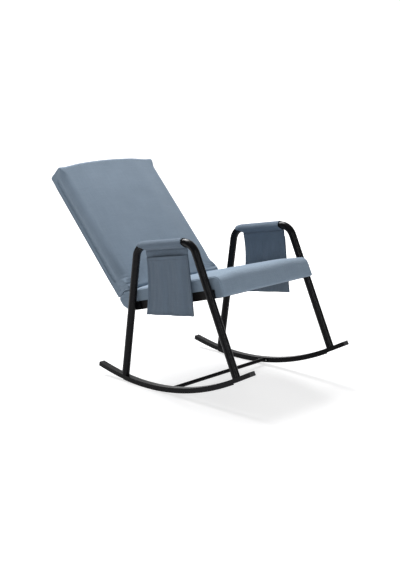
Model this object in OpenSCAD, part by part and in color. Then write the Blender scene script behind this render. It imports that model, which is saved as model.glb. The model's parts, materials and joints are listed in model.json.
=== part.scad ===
// Rocking chair: two bent-tube side frames on curved runners, an upholstered seat and back,
// and a cloth pocket hung under each arm. Millimetres, +Z up, the sitter faces -Y.
// Lengths in the side view are measured forward from the point where the runners touch the
// floor. Left and right are the sitter's own: left is at +X.

/* [Runners] */
// Radius of the runners' underside
rocker_radius = 1025; // [900:5:1300]
// Width of the runner tube
rocker_w = 26; // [20:1:34]
// Height of the runner tube
rocker_h = 17; // [14:1:24]
// Wall of the runner tube
rocker_wall = 2; // [1.5:0.5:3]
// Angle of the runner's arc behind the floor contact
arc_rear = 12.2; // [9:0.1:16]
// Angle of the runner's arc in front of the floor contact
arc_front = 27.7; // [22:0.1:34]
// Length of the straight end behind the arc
end_rear = 42; // [25:1:70]
// Length of the straight end in front of the arc
end_front = 83; // [40:1:120]
// Thickness of the glide strip under the runner
strip_t = 3.5; // [2:0.5:6]
// Width of the glide strip
strip_w = 22; // [14:1:30]
// Angle of the strip behind the floor contact
strip_arc_rear = 6.6; // [4:0.1:8]
// Angle of the strip in front of the floor contact
strip_arc_front = 26; // [18:0.1:32]
// Thickness of an end plug's head
plug_head = 2.5; // [1.5:0.5:5]
// Depth of an end plug inside the tube
plug_depth = 22; // [12:1:35]

/* [Side frames] */
// Distance between the middles of the two side frames
frame_width = 560; // [450:5:680]
// Diameter of the leg and arm tube
tube_d = 30; // [25:1:36]
// Wall of the leg and arm tube
tube_wall = 2; // [1.2:0.1:3]
// Height of the corner where the rear leg's line meets the arm's
arm_z = 552; // [500:1:660]
// Distance of that corner behind the floor contact
arm_back = 36; // [10:1:60]
// Length of the arm between its two corners
arm_len = 293; // [240:1:350]
// Rise of the arm towards the front
arm_rise = 10; // [4:0.5:14]
// Forward lean of the rear leg
rear_lean = 8.4; // [5:0.1:12]
// Rearward lean of the front leg
front_lean = 25; // [18:0.1:30]
// Radius of the arm's bends, to the middle of the tube
bend_r = 58; // [45:1:70]

/* [Lower tie] */
// Diameter of the crossbar
bar_d = 15; // [11:1:16]
// Distance of the crossbar in front of the floor contact
bar_forward = 140; // [80:5:200]
// Thickness of the crossbar's end plates
flange_t = 3; // [2:0.5:5]
// Length of an end plate
flange_len = 52; // [42:1:70]
// Height of an end plate
flange_h = 15; // [12:1:17]
// Diameter of the end plates' screws
flange_screw_d = 4; // [3:0.5:5]

/* [Seat] */
// Clearance between the upholstery and the legs
side_gap = 5; // [3:0.5:9]
// Slope of the seat, up towards the front
seat_tilt = 15; // [8:0.5:20]
// Height of the seat rails' underside over the floor contact
seat_z = 312; // [250:1:380]
// Upholstery in front of the front bolt, along the slope
seat_nose = 54; // [48:1:70]
// Upholstery behind the rear bolt, along the slope
seat_tail = 92; // [76:1:110]
// Thickness at the seat's sides, from the rails' underside to the top
seat_edge = 80; // [68:1:96]
// Rise of the seat's crown in the middle
seat_crown = 5; // [2:1:12]
// Radius of the seat's front roll
seat_roll = 36; // [24:1:44]
// How far the seat's front face leans back
nose_lean = 7; // [0:1:12]
// Radius under the seat's rear end
tail_r = 65; // [58:1:78]
// Height of the seat rails
rail_h = 32; // [26:1:38]
// Width of the seat rails
rail_w = 20; // [16:1:24]
// Wall of the seat rails and cross tubes
rail_wall = 2; // [1.5:0.5:3]
// How far the upholstery stands out over the rails
rail_inset = 3; // [2:0.5:5]
// Thickness of the deck
deck_t = 12; // [9:1:15]
// Depth of the timber batten
batten_d = 19; // [15:1:23]
// Thickness of foam and cloth round the edges of the deck and of the back's panel
wrap = 10; // [8:1:14]

/* [Back] */
// Length of the back
back_len = 605; // [490:1:715]
// Angle of the back from the vertical
recline = 42.6; // [36:0.2:51]
// Height of the back's lower rear corner over the rails' underside, square to the seat
back_foot = 57; // [48:1:64]
// Depth of the back's side band
back_edge = 72; // [60:1:84]
// Rise of the back's crown over its side band
back_crown = 10; // [4:1:20]
// Rise of the back's top edge in the middle
back_arch = 13; // [0:1:20]
// Thickness of the plywood panel
panel_t = 4; // [3:1:6]
// Width and depth of the uprights and their cross tubes
upright_d = 20; // [17:1:23]
// Wall of the uprights and their cross tubes
upright_wall = 1.5; // [1.2:0.1:2.5]
// How far the uprights reach down past the back's lower end
upright_foot = 30; // [25:1:34]
// Space between the back's rear face and the uprights
upright_set = 18; // [12:1:21]
// Thickness of the rear cover and of the dust cover
cover_t = 1.5; // [1:0.5:2.5]
// Thickness of the bracket plates
bracket_t = 5; // [4:0.5:6]
// Length of the bracket along the rail, in front of the rear bolt
bracket_grip = 41; // [34:1:50]

/* [Fasteners] */
// Diameter of the seat bolts
bolt_d = 8; // [6:0.5:9]
// Diameter of the bracket bolts
small_bolt_d = 6; // [5:0.5:7]
// Diameter of the threaded inserts in the legs
insert_d = 11; // [10:0.5:13]
// Length of the threaded inserts
insert_len = 14; // [11:1:17]
// Length of a leg lug on the side towards the other leg
lug_reach = 32; // [26:1:40]
// Length of a leg lug on its other side
lug_end = 9; // [9:1:14]
// Height of a leg lug
lug_h = 26; // [20:1:31]

/* [Arm cloth] */
// Thickness of the arm sleeve
sleeve_t = 2.5; // [1.5:0.5:4]
// Angle of the rear bend that the sleeve covers
sleeve_wrap = 24; // [10:1:40]
// Height of the pocket panel
pocket_drop = 244; // [200:5:290]
// Distance of the panel's rear edge from the rear bend
pocket_start = 3; // [0:1:12]
// How far the panel's front edge runs forward at its foot
pocket_flare = 35; // [10:1:45]
// How far the panel's rear edge is drawn in at half height
pocket_waist = 12; // [0:1:18]
// How much lower the panel hangs at its front edge than at its rear edge
foot_drop = 8; // [0:1:16]
// Thickness of the panel's and the pocket's cloth
cloth_t = 2.4; // [1.6:0.2:3.2]
// Distance of the pocket's mouth below the panel's top
mouth_drop = 28; // [20:1:50]
// How far the pocket stands out at its mouth
pocket_bulge = 16; // [13:1:22]
// Distance of the pocket's side seams from the panel's edges
seam_inset = 12; // [6:1:18]
// Depth of the cloth's folds
fold_depth = 4; // [1:0.5:6]

/* [Hidden] */

$fn = 64;
// Gap between pieces that must not overlap
gap = 0.3;
// How far a cut runs past the face that it opens
over = 1;
// A runner's straight end reaches this far into its arc. It is this much slimmer all round than
// the arc, and a bracket's straight runs than its round ends.
seam_lap = 1;
seam_step = 0.02;
// A round tube's straight run stays this far off its bends
seam_gap = 0.02;

frame_black = "#26262a";
rail_black = "#201f22";
cloth_blue = "#7f93a6";
pocket_blue = "#5f6e7d";
zinc = "#b4b7bb";
timber = "#c6a574";

// Directions in the side view, as [forward, up]
arm_dir = [cos(arm_rise), sin(arm_rise)];
arm_up = [-sin(arm_rise), cos(arm_rise)];
rear_dir = [-sin(rear_lean), -cos(rear_lean)];
front_dir = [sin(front_lean), -cos(front_lean)];
seat_dir = [cos(seat_tilt), sin(seat_tilt)];
seat_up = [-sin(seat_tilt), cos(seat_tilt)];
function seat_to_side(s, t) = [0, seat_z] + s * seat_dir + t * seat_up;

// A point at a radius about the runners' centre, at an angle in front of the floor contact
function arc_point(r, angle) = [r * sin(angle), rocker_radius - r * cos(angle)];
strip_r = rocker_radius - strip_t;
rocker_top_r = strip_r - rocker_h;
rocker_mid_r = strip_r - rocker_h / 2;

// Corners of the side tube's middle line, and the straight arm between its bends
corner_rear = [-arm_back, arm_z];
corner_front = corner_rear + arm_len * arm_dir;
turn_rear = 90 - arm_rise - rear_lean;
turn_front = 90 + arm_rise - front_lean;
tangent_rear = bend_r * tan(turn_rear / 2);
tangent_front = bend_r * tan(turn_front / 2);
arm_start = corner_rear + tangent_rear * arm_dir;
arm_end = corner_front - tangent_front * arm_dir;
arm_run = arm_len - tangent_rear - tangent_front;
leg_run = arm_z + arm_len;
arm_angle = 90 + arm_rise;

// Bolts: where the legs' middle lines cross the middle of the seat rails
function cross_s(p, dir) = let (
    from = p - [0, seat_z],
    along = (rail_h / 2 - from * seat_up) / (dir * seat_up)
) (from + along * dir) * seat_dir;
bolt_s = [cross_s(corner_rear, rear_dir), cross_s(corner_front, front_dir)];
bolt_points = [for (s = bolt_s) seat_to_side(s, rail_h / 2)];

// Widths, from the middle of the chair outwards
tube_inner = frame_width / 2 - tube_d / 2;
half_w = tube_inner - side_gap;
rail_outer = half_w - rail_inset;
rail_inner = rail_outer - rail_w;
bracket_inner = rail_inner - bracket_t;
upright_inner = bracket_inner - upright_d;
rocker_inner = frame_width / 2 - rocker_w / 2;

// Lengths along the seat's slope
seat_front = bolt_s[1] + seat_nose;
seat_rear = bolt_s[0] - seat_tail;
rail_end = bolt_s[1] + lug_end + bolt_d / 2;
rail_start = bolt_s[0] - lug_end - 2 * bolt_d;
deck_front = rail_end + gap + batten_d;
deck_rear = rail_start + bolt_d / 2;
deck_half = half_w - wrap - gap;

// The back's frame: its origin is the lower rear corner
back_slope = recline - seat_tilt;
back_origin = seat_to_side(seat_rear, back_foot);
upright_mid = upright_set + upright_d / 2;
bracket_r = upright_d / 2 - gap;
upright_top = back_len - wrap - 0.6 * upright_d;
panel_face = upright_set + upright_d + panel_t;
panel_edge = wrap + gap;
function back_to_seat(n, a) = [
    seat_rear + n * cos(back_slope) - a * sin(back_slope),
    back_foot + n * sin(back_slope) + a * cos(back_slope)
];

// Outlines of the upholstery in the side view, for a fullness k: 0 at the sides, 1 in the middle
seam_r = 8;
soft_edge = 4;
function arc(c, r, from, to, steps) = [
    for (i = [0 : steps]) let (a = from + (to - from) * i / steps) c + r * [cos(a), sin(a)]
];
function between(a, b, steps) = [for (i = [1 : steps - 1]) a + (b - a) * i / steps];
// The seat's, in its own frame: x forward along the slope, y up from the rails' underside
function seat_outline(k) = let (
    top = seat_edge + k * seat_crown,
    front = seat_front + k * soft_edge / 2,
    roll = [front - nose_lean - seat_roll, top - seat_roll],
    joint = [seat_rear + (top - back_foot) / tan(back_slope), top],
    foot = [seat_rear, back_foot],
    tail = [seat_rear + sqrt(pow(tail_r, 2) - pow(tail_r - back_foot, 2)), tail_r],
    tail_from = 180 + asin((tail_r - back_foot) / tail_r)
) concat(
    arc([front - seam_r, seam_r], seam_r, -90, 0, 3),
    arc(roll, seat_roll, 0, 90, 8),
    between([roll[0], top], joint, 8),
    [joint],
    between(joint, foot, 3),
    arc(tail, tail_r, tail_from, 270, 7),
    between([tail[0], 0], [front - seam_r, 0], 8)
);
// The back's, in its own frame: x out of the front face, y up along the back. Its foot rests on
// the seat's slope and then on the seat's top.
fullness_power = 5;
function back_outline(k) = let (
    depth = back_edge + k * back_crown,
    top = back_len + (1 - pow(1 - pow(k, 2), 2 / fullness_power)) * back_arch,
    brow = seam_r + k * back_crown / 2,
    seat_top = seat_edge + k * seat_crown + gap - back_foot,
    joint = [(seat_top - gap * cos(back_slope)) / sin(back_slope), gap],
    toe_n = depth - seam_r,
    toe = [toe_n, (seat_top - toe_n * sin(back_slope) + seam_r) / cos(back_slope)]
) concat(
    arc(toe, seam_r, -90 - back_slope, 0, 4),
    between([depth, toe[1]], [depth, top - brow], 9),
    arc([depth - brow, top - brow], brow, 0, 90, 6),
    between([depth - brow, top], [seam_r, top], 3),
    arc([seam_r, top - seam_r], seam_r, 90, 180, 3),
    between([0, top - seam_r], [0, gap], 8),
    [[0, gap]],
    between([0, gap], joint, 4),
    [joint]
);

// The chair is centred between the front of its runners and the top of its back
front_reach = arc_point(strip_r, arc_front)[0] + (end_front + plug_head) * cos(arc_front);
rear_reach = back_origin[0]
    + min([for (q = back_outline(1)) q[0] * cos(recline) - q[1] * sin(recline)]);
mid_y = (front_reach + rear_reach) / 2;

// Side view to space: x runs forward, y up, and z outwards on the right-hand side
module in_side(x) {
    translate([x, mid_y, 0]) rotate([90, 0, -90]) children();
}
// Seat's frame: x sideways, -y forward along the slope, z up from the rails' underside
module on_seat() {
    translate([0, mid_y, seat_z]) rotate([-seat_tilt, 0, 0]) children();
}
// Back's frame: x sideways, -y out of the front face, z up along the back
module on_back() {
    translate([0, mid_y - back_origin[0], back_origin[1]]) rotate([-recline, 0, 0]) children();
}
// Pieces are made on the right, at -X, and mirrored for the left
module on_side(left) {
    mirror([left ? 1 : 0, 0, 0]) children();
}
module both_sides() {
    for (left = [false, true]) on_side(left) children();
}
// An axis along x in the seat's frame, from -x outwards
module outwards(x, p) {
    translate([-x, -p[0], p[1]]) rotate([0, -90, 0]) children();
}
// Gives a drawing of the seat's side view a thickness, from -x outwards
module plate_at(x, t) {
    translate([-x, 0, 0]) rotate([90, 0, -90]) linear_extrude(t) children();
}

// Round tubes in the side view: a straight run from a point, and a bend about a centre. A ring
// inside both walls joins the run to its bend.
module ring(r, wall) {
    difference() {
        circle(r);
        circle(r - wall);
    }
}
module run_from(p, dir, length) {
    translate([p[0], p[1], 0]) rotate([0, 0, atan2(dir[1], dir[0])]) rotate([0, 90, 0])
        linear_extrude(length) children();
}
module seam_ring(p, dir, r, wall) {
    run_from(p - seam_lap * dir, dir, 2 * seam_lap) ring(r - wall / 4, wall / 2);
}
module straight(p, dir, length, r, wall) {
    run_from(p + seam_gap * dir, dir, length - 2 * seam_gap) ring(r, wall);
    seam_ring(p, dir, r, wall);
}
module bend_about(c, from, sweep, r, wall) {
    translate([c[0], c[1], 0]) rotate([0, 0, from])
        rotate_extrude(angle = sweep, $fn = 96) translate([bend_r, 0]) ring(r, wall);
}
module side_tube(left) {
    r = tube_d / 2;
    color(frame_black) on_side(left) in_side(-frame_width / 2) difference() {
        union() {
            bend_about(arm_start - bend_r * arm_up, arm_angle, turn_rear, r, tube_wall);
            straight(arm_start, arm_dir, arm_run, r, tube_wall);
            seam_ring(arm_end, arm_dir, r, tube_wall);
            bend_about(arm_end - bend_r * arm_up, arm_angle - turn_front, turn_front, r, tube_wall);
            intersection() {
                union() {
                    straight(corner_rear + tangent_rear * rear_dir, rear_dir, leg_run, r, tube_wall);
                    straight(corner_front + tangent_front * front_dir, front_dir, leg_run, r, tube_wall);
                }
                translate([0, rocker_radius, -tube_d])
                    cylinder(h = 2 * tube_d, r = rocker_top_r, $fn = 256);
            }
        }
        for (p = bolt_points) translate([p[0], p[1], -tube_d / 2 - over])
            cylinder(h = tube_wall + 3 * over, d = insert_d);
    }
}

// Runners: an arc with a straight run at each end; the section's x is the runner's height
module rocker_section(step) {
    h = rocker_h - 2 * step;
    w = rocker_w - 2 * step;
    wall = rocker_wall - 2 * step;
    difference() {
        square([h, w], center = true);
        square([h - 2 * wall, w - 2 * wall], center = true);
    }
}
module rocker_end(length) {
    translate([-seam_lap, 0, 0]) rotate([90, 0, 90])
        linear_extrude(length + seam_lap) rocker_section(seam_step);
}
module at_arc(r, angle) {
    p = arc_point(r, angle);
    translate([p[0], p[1], 0]) rotate([0, 0, angle]) children();
}
module rocker(left) {
    color(frame_black) on_side(left) in_side(-frame_width / 2) difference() {
        union() {
            translate([0, rocker_radius, 0]) rotate([0, 0, -90 - arc_rear])
                rotate_extrude(angle = arc_rear + arc_front, $fn = 360)
                    translate([rocker_mid_r, 0]) rocker_section(0);
            at_arc(rocker_mid_r, -arc_rear) rotate([0, 0, 180]) rocker_end(end_rear);
            at_arc(rocker_mid_r, arc_front) rocker_end(end_front);
        }
        for (k = [-1, 1]) at_arc(rocker_mid_r, bar_angle)
            translate([k * screw_step, 0, -rocker_w / 2 - over])
                cylinder(h = rocker_wall + 2 * over, d = flange_screw_d + gap);
    }
}
module glide_strip(left) {
    color("#1b1b1d") on_side(left) in_side(-frame_width / 2)
        translate([0, rocker_radius, 0]) rotate([0, 0, -90 - strip_arc_rear])
            rotate_extrude(angle = strip_arc_rear + strip_arc_front, $fn = 360)
                translate([strip_r + strip_t / 2, 0]) square([strip_t, strip_w], center = true);
}
// An end plug: a head the size of the runner and a shank inside it
module plug() {
    shank_h = rocker_h - 2 * rocker_wall - 2 * gap;
    shank_w = rocker_w - 2 * rocker_wall - 2 * gap;
    translate([0, -rocker_h / 2, -rocker_w / 2]) cube([plug_head, rocker_h, rocker_w]);
    translate([-plug_depth, -shank_h / 2, -shank_w / 2])
        cube([plug_depth + plug_head / 2, shank_h, shank_w]);
}
module rocker_plugs_rear() {
    color("#3a3a3e") both_sides() in_side(-frame_width / 2)
        at_arc(rocker_mid_r, -arc_rear) rotate([0, 0, 180]) translate([end_rear, 0, 0]) plug();
}
module rocker_plugs_front() {
    color("#3a3a3e") both_sides() in_side(-frame_width / 2)
        at_arc(rocker_mid_r, arc_front) translate([end_front, 0, 0]) plug();
}

// Leg lugs, let into the legs and coped round them, with a bore for the inserts
lug_ends = [[-lug_end, lug_reach], [-lug_reach, lug_end]];
module leg_lugs() {
    outer = tube_inner + tube_wall / 2;
    color(frame_black) both_sides() difference() {
        on_seat() for (i = [0, 1]) difference() {
            translate([-outer, -bolt_s[i] - lug_ends[i][1], rail_h / 2 - lug_h / 2])
                cube([outer - rail_outer, lug_ends[i][1] - lug_ends[i][0], lug_h]);
            outwards(rail_outer - over, [bolt_s[i], rail_h / 2])
                cylinder(h = outer - rail_outer + 2 * over, d = insert_d);
        }
        in_side(-frame_width / 2) {
            run_from(corner_rear, rear_dir, leg_run) circle(tube_d / 2);
            run_from(corner_front, front_dir, leg_run) circle(tube_d / 2);
        }
    }
}
module leg_inserts() {
    color(zinc) both_sides() on_seat() for (s = bolt_s)
        outwards(rail_outer + gap, [s, rail_h / 2]) difference() {
            cylinder(h = insert_len, d = insert_d - gap);
            translate([0, 0, -over]) cylinder(h = insert_len + 2 * over, d = bolt_d);
        }
}

// Lower tie between the runners
bar_angle = asin(bar_forward / rocker_radius);
screw_step = flange_len / 2 - flange_h / 2;
bar_end = rocker_inner - flange_t;
module crossbar() {
    color(frame_black) in_side(bar_end) at_arc(rocker_mid_r, bar_angle)
        cylinder(h = 2 * bar_end, d = bar_d);
}
module crossbar_flanges() {
    color(frame_black) both_sides() in_side(-bar_end) at_arc(rocker_mid_r, bar_angle)
        linear_extrude(flange_t) difference() {
            union() {
                square([2 * screw_step, flange_h], center = true);
                for (k = [-1, 1]) translate([k * screw_step, 0]) circle(flange_h / 2);
            }
            for (k = [-1, 1]) translate([k * screw_step, 0]) circle(flange_screw_d / 2 + gap);
        }
}
module flange_screws() {
    head_h = flange_screw_d / 2;
    color(zinc) both_sides() for (k = [-1, 1])
        in_side(-bar_end) at_arc(rocker_mid_r, bar_angle) translate([k * screw_step, 0, 0]) {
            cylinder(h = flange_t + 2 * rocker_wall, d = flange_screw_d);
            translate([0, 0, -head_h]) cylinder(h = head_h, d = 2 * flange_screw_d);
        }
}

// Seat frame
module tube_section(w, h, wall) {
    difference() {
        square([w, h]);
        translate([wall, wall]) square([w - 2 * wall, h - 2 * wall]);
    }
}
module seat_rail(left) {
    color(rail_black) on_side(left) on_seat() difference() {
        translate([-rail_outer, -rail_start, 0]) rotate([90, 0, 0])
            linear_extrude(rail_end - rail_start) tube_section(rail_w, rail_h, rail_wall);
        for (s = bolt_s) outwards(rail_inner - over, [s, rail_h / 2])
            cylinder(h = rail_w + 2 * over, d = bolt_d + gap);
        outwards(rail_inner - over, bracket_path[0])
            cylinder(h = rail_wall + 2 * over, d = small_bolt_d + gap);
    }
}
module seat_cross(s) {
    color(rail_black) on_seat() translate([-rail_inner, -s, 0]) rotate([90, 0, 90])
        linear_extrude(2 * rail_inner) tube_section(rail_w, rail_h, rail_wall);
}
module seat_cross_front() {
    seat_cross(bolt_s[1] - 2 * bolt_d);
}
module seat_cross_rear() {
    seat_cross(bracket_path[0][0] + bracket_r + bolt_d + rail_w);
}
// The rear bolts hold the back's brackets too, so they start a plate further in
module seat_bolts() {
    head_h = 0.6 * bolt_d;
    starts = [bracket_inner, rail_inner];
    color(zinc) both_sides() on_seat() for (i = [0, 1])
        outwards(starts[i], [bolt_s[i], rail_h / 2]) {
            cylinder(h = rail_outer + insert_len - starts[i], d = bolt_d - gap);
            translate([0, 0, -head_h]) cylinder(h = head_h, d = 1.7 * bolt_d, $fn = 6);
        }
}
// The deck's rear edge is notched for the brackets
module seat_deck() {
    notch_from = bolt_s[0] + bracket_r;
    color(timber) on_seat() difference() {
        translate([-deck_half, -deck_front, rail_h])
            cube([2 * deck_half, deck_front - deck_rear, deck_t]);
        both_sides() translate([-rail_inner - gap, -notch_from, rail_h - over])
            cube([bracket_t + 2 * gap, notch_from - deck_rear + over, deck_t + 2 * over]);
    }
}
module seat_batten() {
    color(timber) on_seat() translate([-deck_half, -deck_front, 0])
        cube([2 * deck_half, batten_d, rail_h]);
}
module dust_cover() {
    half = rail_outer - rail_wall;
    color("#1d1d1f") on_seat() translate([-half, -deck_front, -cover_t])
        cube([2 * half, deck_front - deck_rear, cover_t]);
}

// Back frame: bracket plates from the rails to the uprights
bracket_path = [
    [bolt_s[0] + bracket_grip, rail_h / 2],
    [bolt_s[0], rail_h / 2],
    back_to_seat(upright_mid, -upright_foot / 2),
    back_to_seat(upright_mid, 2 * upright_foot)
];
upright_bolts = [bracket_path[2], bracket_path[3]];
module band(points, r) {
    half = r - seam_step;
    for (p = points) translate(p) circle(r);
    for (i = [1 : len(points) - 1]) let (d = points[i] - points[i - 1])
        translate(points[i - 1]) rotate(atan2(d[1], d[0])) translate([0, -half])
            square([norm(d), 2 * half]);
}
module back_bracket(left) {
    color(rail_black) on_side(left) on_seat() plate_at(bracket_inner, bracket_t) difference() {
        band(bracket_path, bracket_r);
        translate(bracket_path[1]) circle(bolt_d / 2 + gap);
        for (p = concat([bracket_path[0]], upright_bolts))
            translate(p) circle(small_bolt_d / 2 + gap);
    }
}
bracket_head_h = 0.6 * small_bolt_d;
module bracket_bolts() {
    color(zinc) both_sides() on_seat() {
        outwards(bracket_inner, bracket_path[0]) {
            cylinder(h = bracket_t + rail_wall + small_bolt_d, d = small_bolt_d - gap);
            translate([0, 0, -bracket_head_h])
                cylinder(h = bracket_head_h, d = 1.7 * small_bolt_d, $fn = 6);
        }
        for (p = upright_bolts) outwards(upright_inner, p) {
            translate([0, 0, -bracket_head_h])
                cylinder(h = bracket_head_h, d = 1.7 * small_bolt_d, $fn = 6);
            cylinder(h = upright_d + bracket_t, d = small_bolt_d - gap);
            translate([0, 0, upright_d + bracket_t]) cylinder(h = bracket_head_h, d = 2 * small_bolt_d);
        }
    }
}
module back_upright(left) {
    color(rail_black) on_side(left) difference() {
        on_back() translate([-bracket_inner, -upright_set - upright_d, -upright_foot])
            linear_extrude(upright_top + upright_foot)
                tube_section(upright_d, upright_d, upright_wall);
        on_seat() for (p = upright_bolts) outwards(upright_inner - over, p)
            cylinder(h = upright_d + 2 * over, d = small_bolt_d + gap);
    }
}
module back_cross(top) {
    color(rail_black) on_back()
        translate([-upright_inner, -upright_set - upright_d, top - upright_d])
            rotate([90, 0, 90]) linear_extrude(2 * upright_inner)
                tube_section(upright_d, upright_d, upright_wall);
}
module back_cross_top() {
    back_cross(upright_top);
}
module back_cross_low() {
    back_cross(3 * upright_foot + upright_d);
}
module back_panel() {
    color(timber) on_back() translate([-half_w + panel_edge, -panel_face, panel_edge])
        cube([2 * (half_w - panel_edge), panel_t, back_len - 2 * panel_edge]);
}
module back_cover() {
    color(cloth_blue) on_back() translate([-half_w + panel_edge, -cover_t - gap, panel_edge])
        cube([2 * (half_w - panel_edge), cover_t, back_len - 2 * panel_edge]);
}

// Upholstery: the outlines are lofted from side to side. The crown is fullest in the middle and
// falls at the sides, whose faces have a soft edge and are drawn in between their corners.
station_shares = [0, 0.25, 0.45, 0.62, 0.75, 0.85, 0.92, 0.97, 1];
side_draw_depth = 3;
function fullness(k) = sqrt(max(0, 1 - pow(abs(k), fullness_power)));
stations = concat([for (i = [len(station_shares) - 1 : -1 : 1]) -station_shares[i]], station_shares);
soft_stations = concat([-half_w], [for (k = stations) k * (half_w - soft_edge)], [half_w]);
function middle_of(list) = (max(list) + min(list)) / 2;
function centre_of(points) = [for (k = [0, 1]) middle_of([for (p = points) p[k]])];
function drawn_in(points) = let (n = len(points)) [
    for (i = [0 : n - 1]) let (t = points[(i + 1) % n] - points[(i + n - 1) % n])
        points[i] + soft_edge / norm(t) * [-t[1], t[0]]
];
// From 0 at both ends of an outline's long direction to 1 in its middle
function bow(p, points, along) = let (
    list = [for (q = points) q[along]],
    half = (max(list) - min(list)) / 2
) 1 - pow((p[along] - middle_of(list)) / half, 2);
module loft(sections, along) {
    n = len(sections[0]);
    m = len(sections);
    side = sections[0];
    c = centre_of(side);
    points = [
        for (j = [0 : m - 1]) for (p = sections[j]) let (k = soft_stations[j] / half_w)
            [soft_stations[j] - k * abs(k) * side_draw_depth * bow(p, side, along), -p[0], p[1]]
    ];
    ends = [for (k = [-1, 1]) [k * (half_w - side_draw_depth), -c[0], c[1]]];
    walls = [
        for (j = [0 : m - 2]) for (i = [0 : n - 1]) let (a = j * n + i, b = j * n + (i + 1) % n)
            each [[a, b + n, a + n], [a, b, b + n]]
    ];
    caps = [
        for (i = [0 : n - 1]) let (k = (i + 1) % n, last = (m - 1) * n)
            each [[k, i, m * n], [last + i, last + k, m * n + 1]]
    ];
    polyhedron(points = concat(points, ends), faces = concat(walls, caps), convexity = 6);
}
module seat_form() {
    side = drawn_in(seat_outline(0));
    loft(concat([side], [for (k = stations) seat_outline(fullness(k))], [side]), 0);
}
module back_form() {
    side = drawn_in(back_outline(0));
    loft(concat([side], [for (k = stations) back_outline(fullness(k))], [side]), 1);
}
// A block in the seat's frame, centred sideways
module seat_block(half, from, to, low, high) {
    translate([-half, -to, low]) cube([2 * half, to - from, high - low]);
}
// Widths of the room for a bracket, its upright and their bolts
room_in = upright_inner - small_bolt_d;
room_w = rail_inner + small_bolt_d - room_in;
module seat_cushion() {
    low = -over;
    high = rail_h + gap;
    color(cloth_blue) difference() {
        on_seat() seat_form();
        on_seat() {
            // Between the legs the sides are cut away, and the rails show
            seat_block(half_w + over, bolt_s[0] - lug_end - gap, bolt_s[1] + lug_end + gap, low, high);
            seat_block(rail_outer + gap, rail_start - gap, rail_end + gap, low, high);
            seat_block(deck_half + gap, rail_end - over, deck_front + gap, low, high);
            seat_block(deck_half + gap, deck_rear - gap, deck_front + gap, rail_h, high + deck_t);
            both_sides() plate_at(room_in, room_w)
                band([for (i = [1 : 3]) bracket_path[i]], bracket_r + gap);
        }
        on_back() both_sides()
            translate([-room_in - room_w, -upright_set - upright_d - gap, -upright_foot - gap])
                cube([room_w, upright_d + 2 * gap, upright_foot + 2 * gap]);
    }
}
module back_cushion() {
    slot = bracket_r + 2 * gap;
    color(cloth_blue) on_back() difference() {
        back_form();
        translate([-half_w + wrap, -panel_face - gap, wrap])
            cube([2 * (half_w - wrap), panel_face + gap + over, back_len - 2 * wrap]);
        both_sides() translate([-room_in - room_w, -upright_mid - slot, -upright_foot])
            cube([room_w, 2 * slot, upright_foot + wrap + over]);
    }
}

// Arm cloth: the sleeve, the panel that hangs from it, and the pocket's outer cloth
sleeve_r = tube_d / 2 + gap + sleeve_t;
module arm_sleeve(left) {
    color(pocket_blue) on_side(left) in_side(-frame_width / 2) {
        bend_about(arm_start - bend_r * arm_up, arm_angle, sleeve_wrap, sleeve_r, sleeve_t);
        straight(arm_start, arm_dir, arm_run, sleeve_r, sleeve_t);
    }
}
// The panel's top ends where it would meet the inside of the front bend
hang_r = sleeve_r + gap;
past_bend = sqrt(pow(bend_r - tube_d / 2 - gap, 2) - pow(bend_r - hang_r, 2));
panel_w = arm_run - pocket_start + past_bend;
// A point of the hanging cloth: u runs forward from 0 to 1, v down from 0 to 1
function hang(u, v) = let (
    top = arm_start - hang_r * arm_up + (pocket_start + u * panel_w) * arm_dir,
    rear = pocket_waist * 4 * v * (1 - v),
    front = pocket_flare * v
) top + [rear + (front - rear) * u, -v * (pocket_drop + foot_drop * u)];
fold_count = 2.5;
function fold(u, v) = -fold_depth * v * (1 - cos(360 * fold_count * u + 90 * v)) / 2;
seam_share = seam_inset / panel_w;
mouth_share = mouth_drop / pocket_drop;
function bulge(u, v) = let (
    across = min(1, abs(2 * u - 1) / (1 - 2 * seam_share)),
    down = max(0, 1 - (v - mouth_share) / (1 - mouth_share))
) pocket_bulge * (1 - pow(across, 3)) * pow(down, 1.3);

// A sheet between two grids of points that run forward in each row, and down row by row
module sheet(inner, outer) {
    rows = len(inner);
    n = len(inner[0]);
    b = rows * n;
    grid = [
        for (j = [0 : rows - 2]) for (i = [0 : n - 2]) let (a = j * n + i)
            each [
                [a, a + n, a + n + 1], [a, a + n + 1, a + 1],
                [b + a, b + a + n + 1, b + a + n], [b + a, b + a + 1, b + a + n + 1]
            ]
    ];
    hems = [
        for (i = [0 : n - 2]) let (z = (rows - 1) * n + i)
            each [
                [i, i + 1, b + i + 1], [i, b + i + 1, b + i],
                [z, b + z, b + z + 1], [z, b + z + 1, z + 1]
            ]
    ];
    flanks = [
        for (j = [0 : rows - 2]) let (a = j * n, z = j * n + n - 1)
            each [
                [a, b + a, b + a + n], [a, b + a + n, a + n],
                [z, z + n, b + z + n], [z, b + z + n, b + z]
            ]
    ];
    points = concat([for (row = inner) each row], [for (row = outer) each row]);
    polyhedron(points = points, faces = concat(grid, hems, flanks), convexity = 8);
}
columns = 20;
rows = 8;
function hang_point(i, j, from, lifted, z) = let (
    u = i / columns,
    v = from + (1 - from) * j / rows,
    p = hang(u, v)
) [p[0], p[1], z + fold(u, v) + (lifted ? bulge(u, v) : 0)];
module cloth(from, lifted) {
    low = lifted ? cloth_t / 2 + gap : -cloth_t / 2;
    sheet(
        [for (j = [0 : rows]) [for (i = [0 : columns]) hang_point(i, j, from, lifted, low)]],
        [for (j = [0 : rows]) [for (i = [0 : columns]) hang_point(i, j, from, lifted, low + cloth_t)]]
    );
}
module pocket_panel(left) {
    color(pocket_blue) on_side(left) in_side(-frame_width / 2) cloth(0, false);
}
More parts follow.
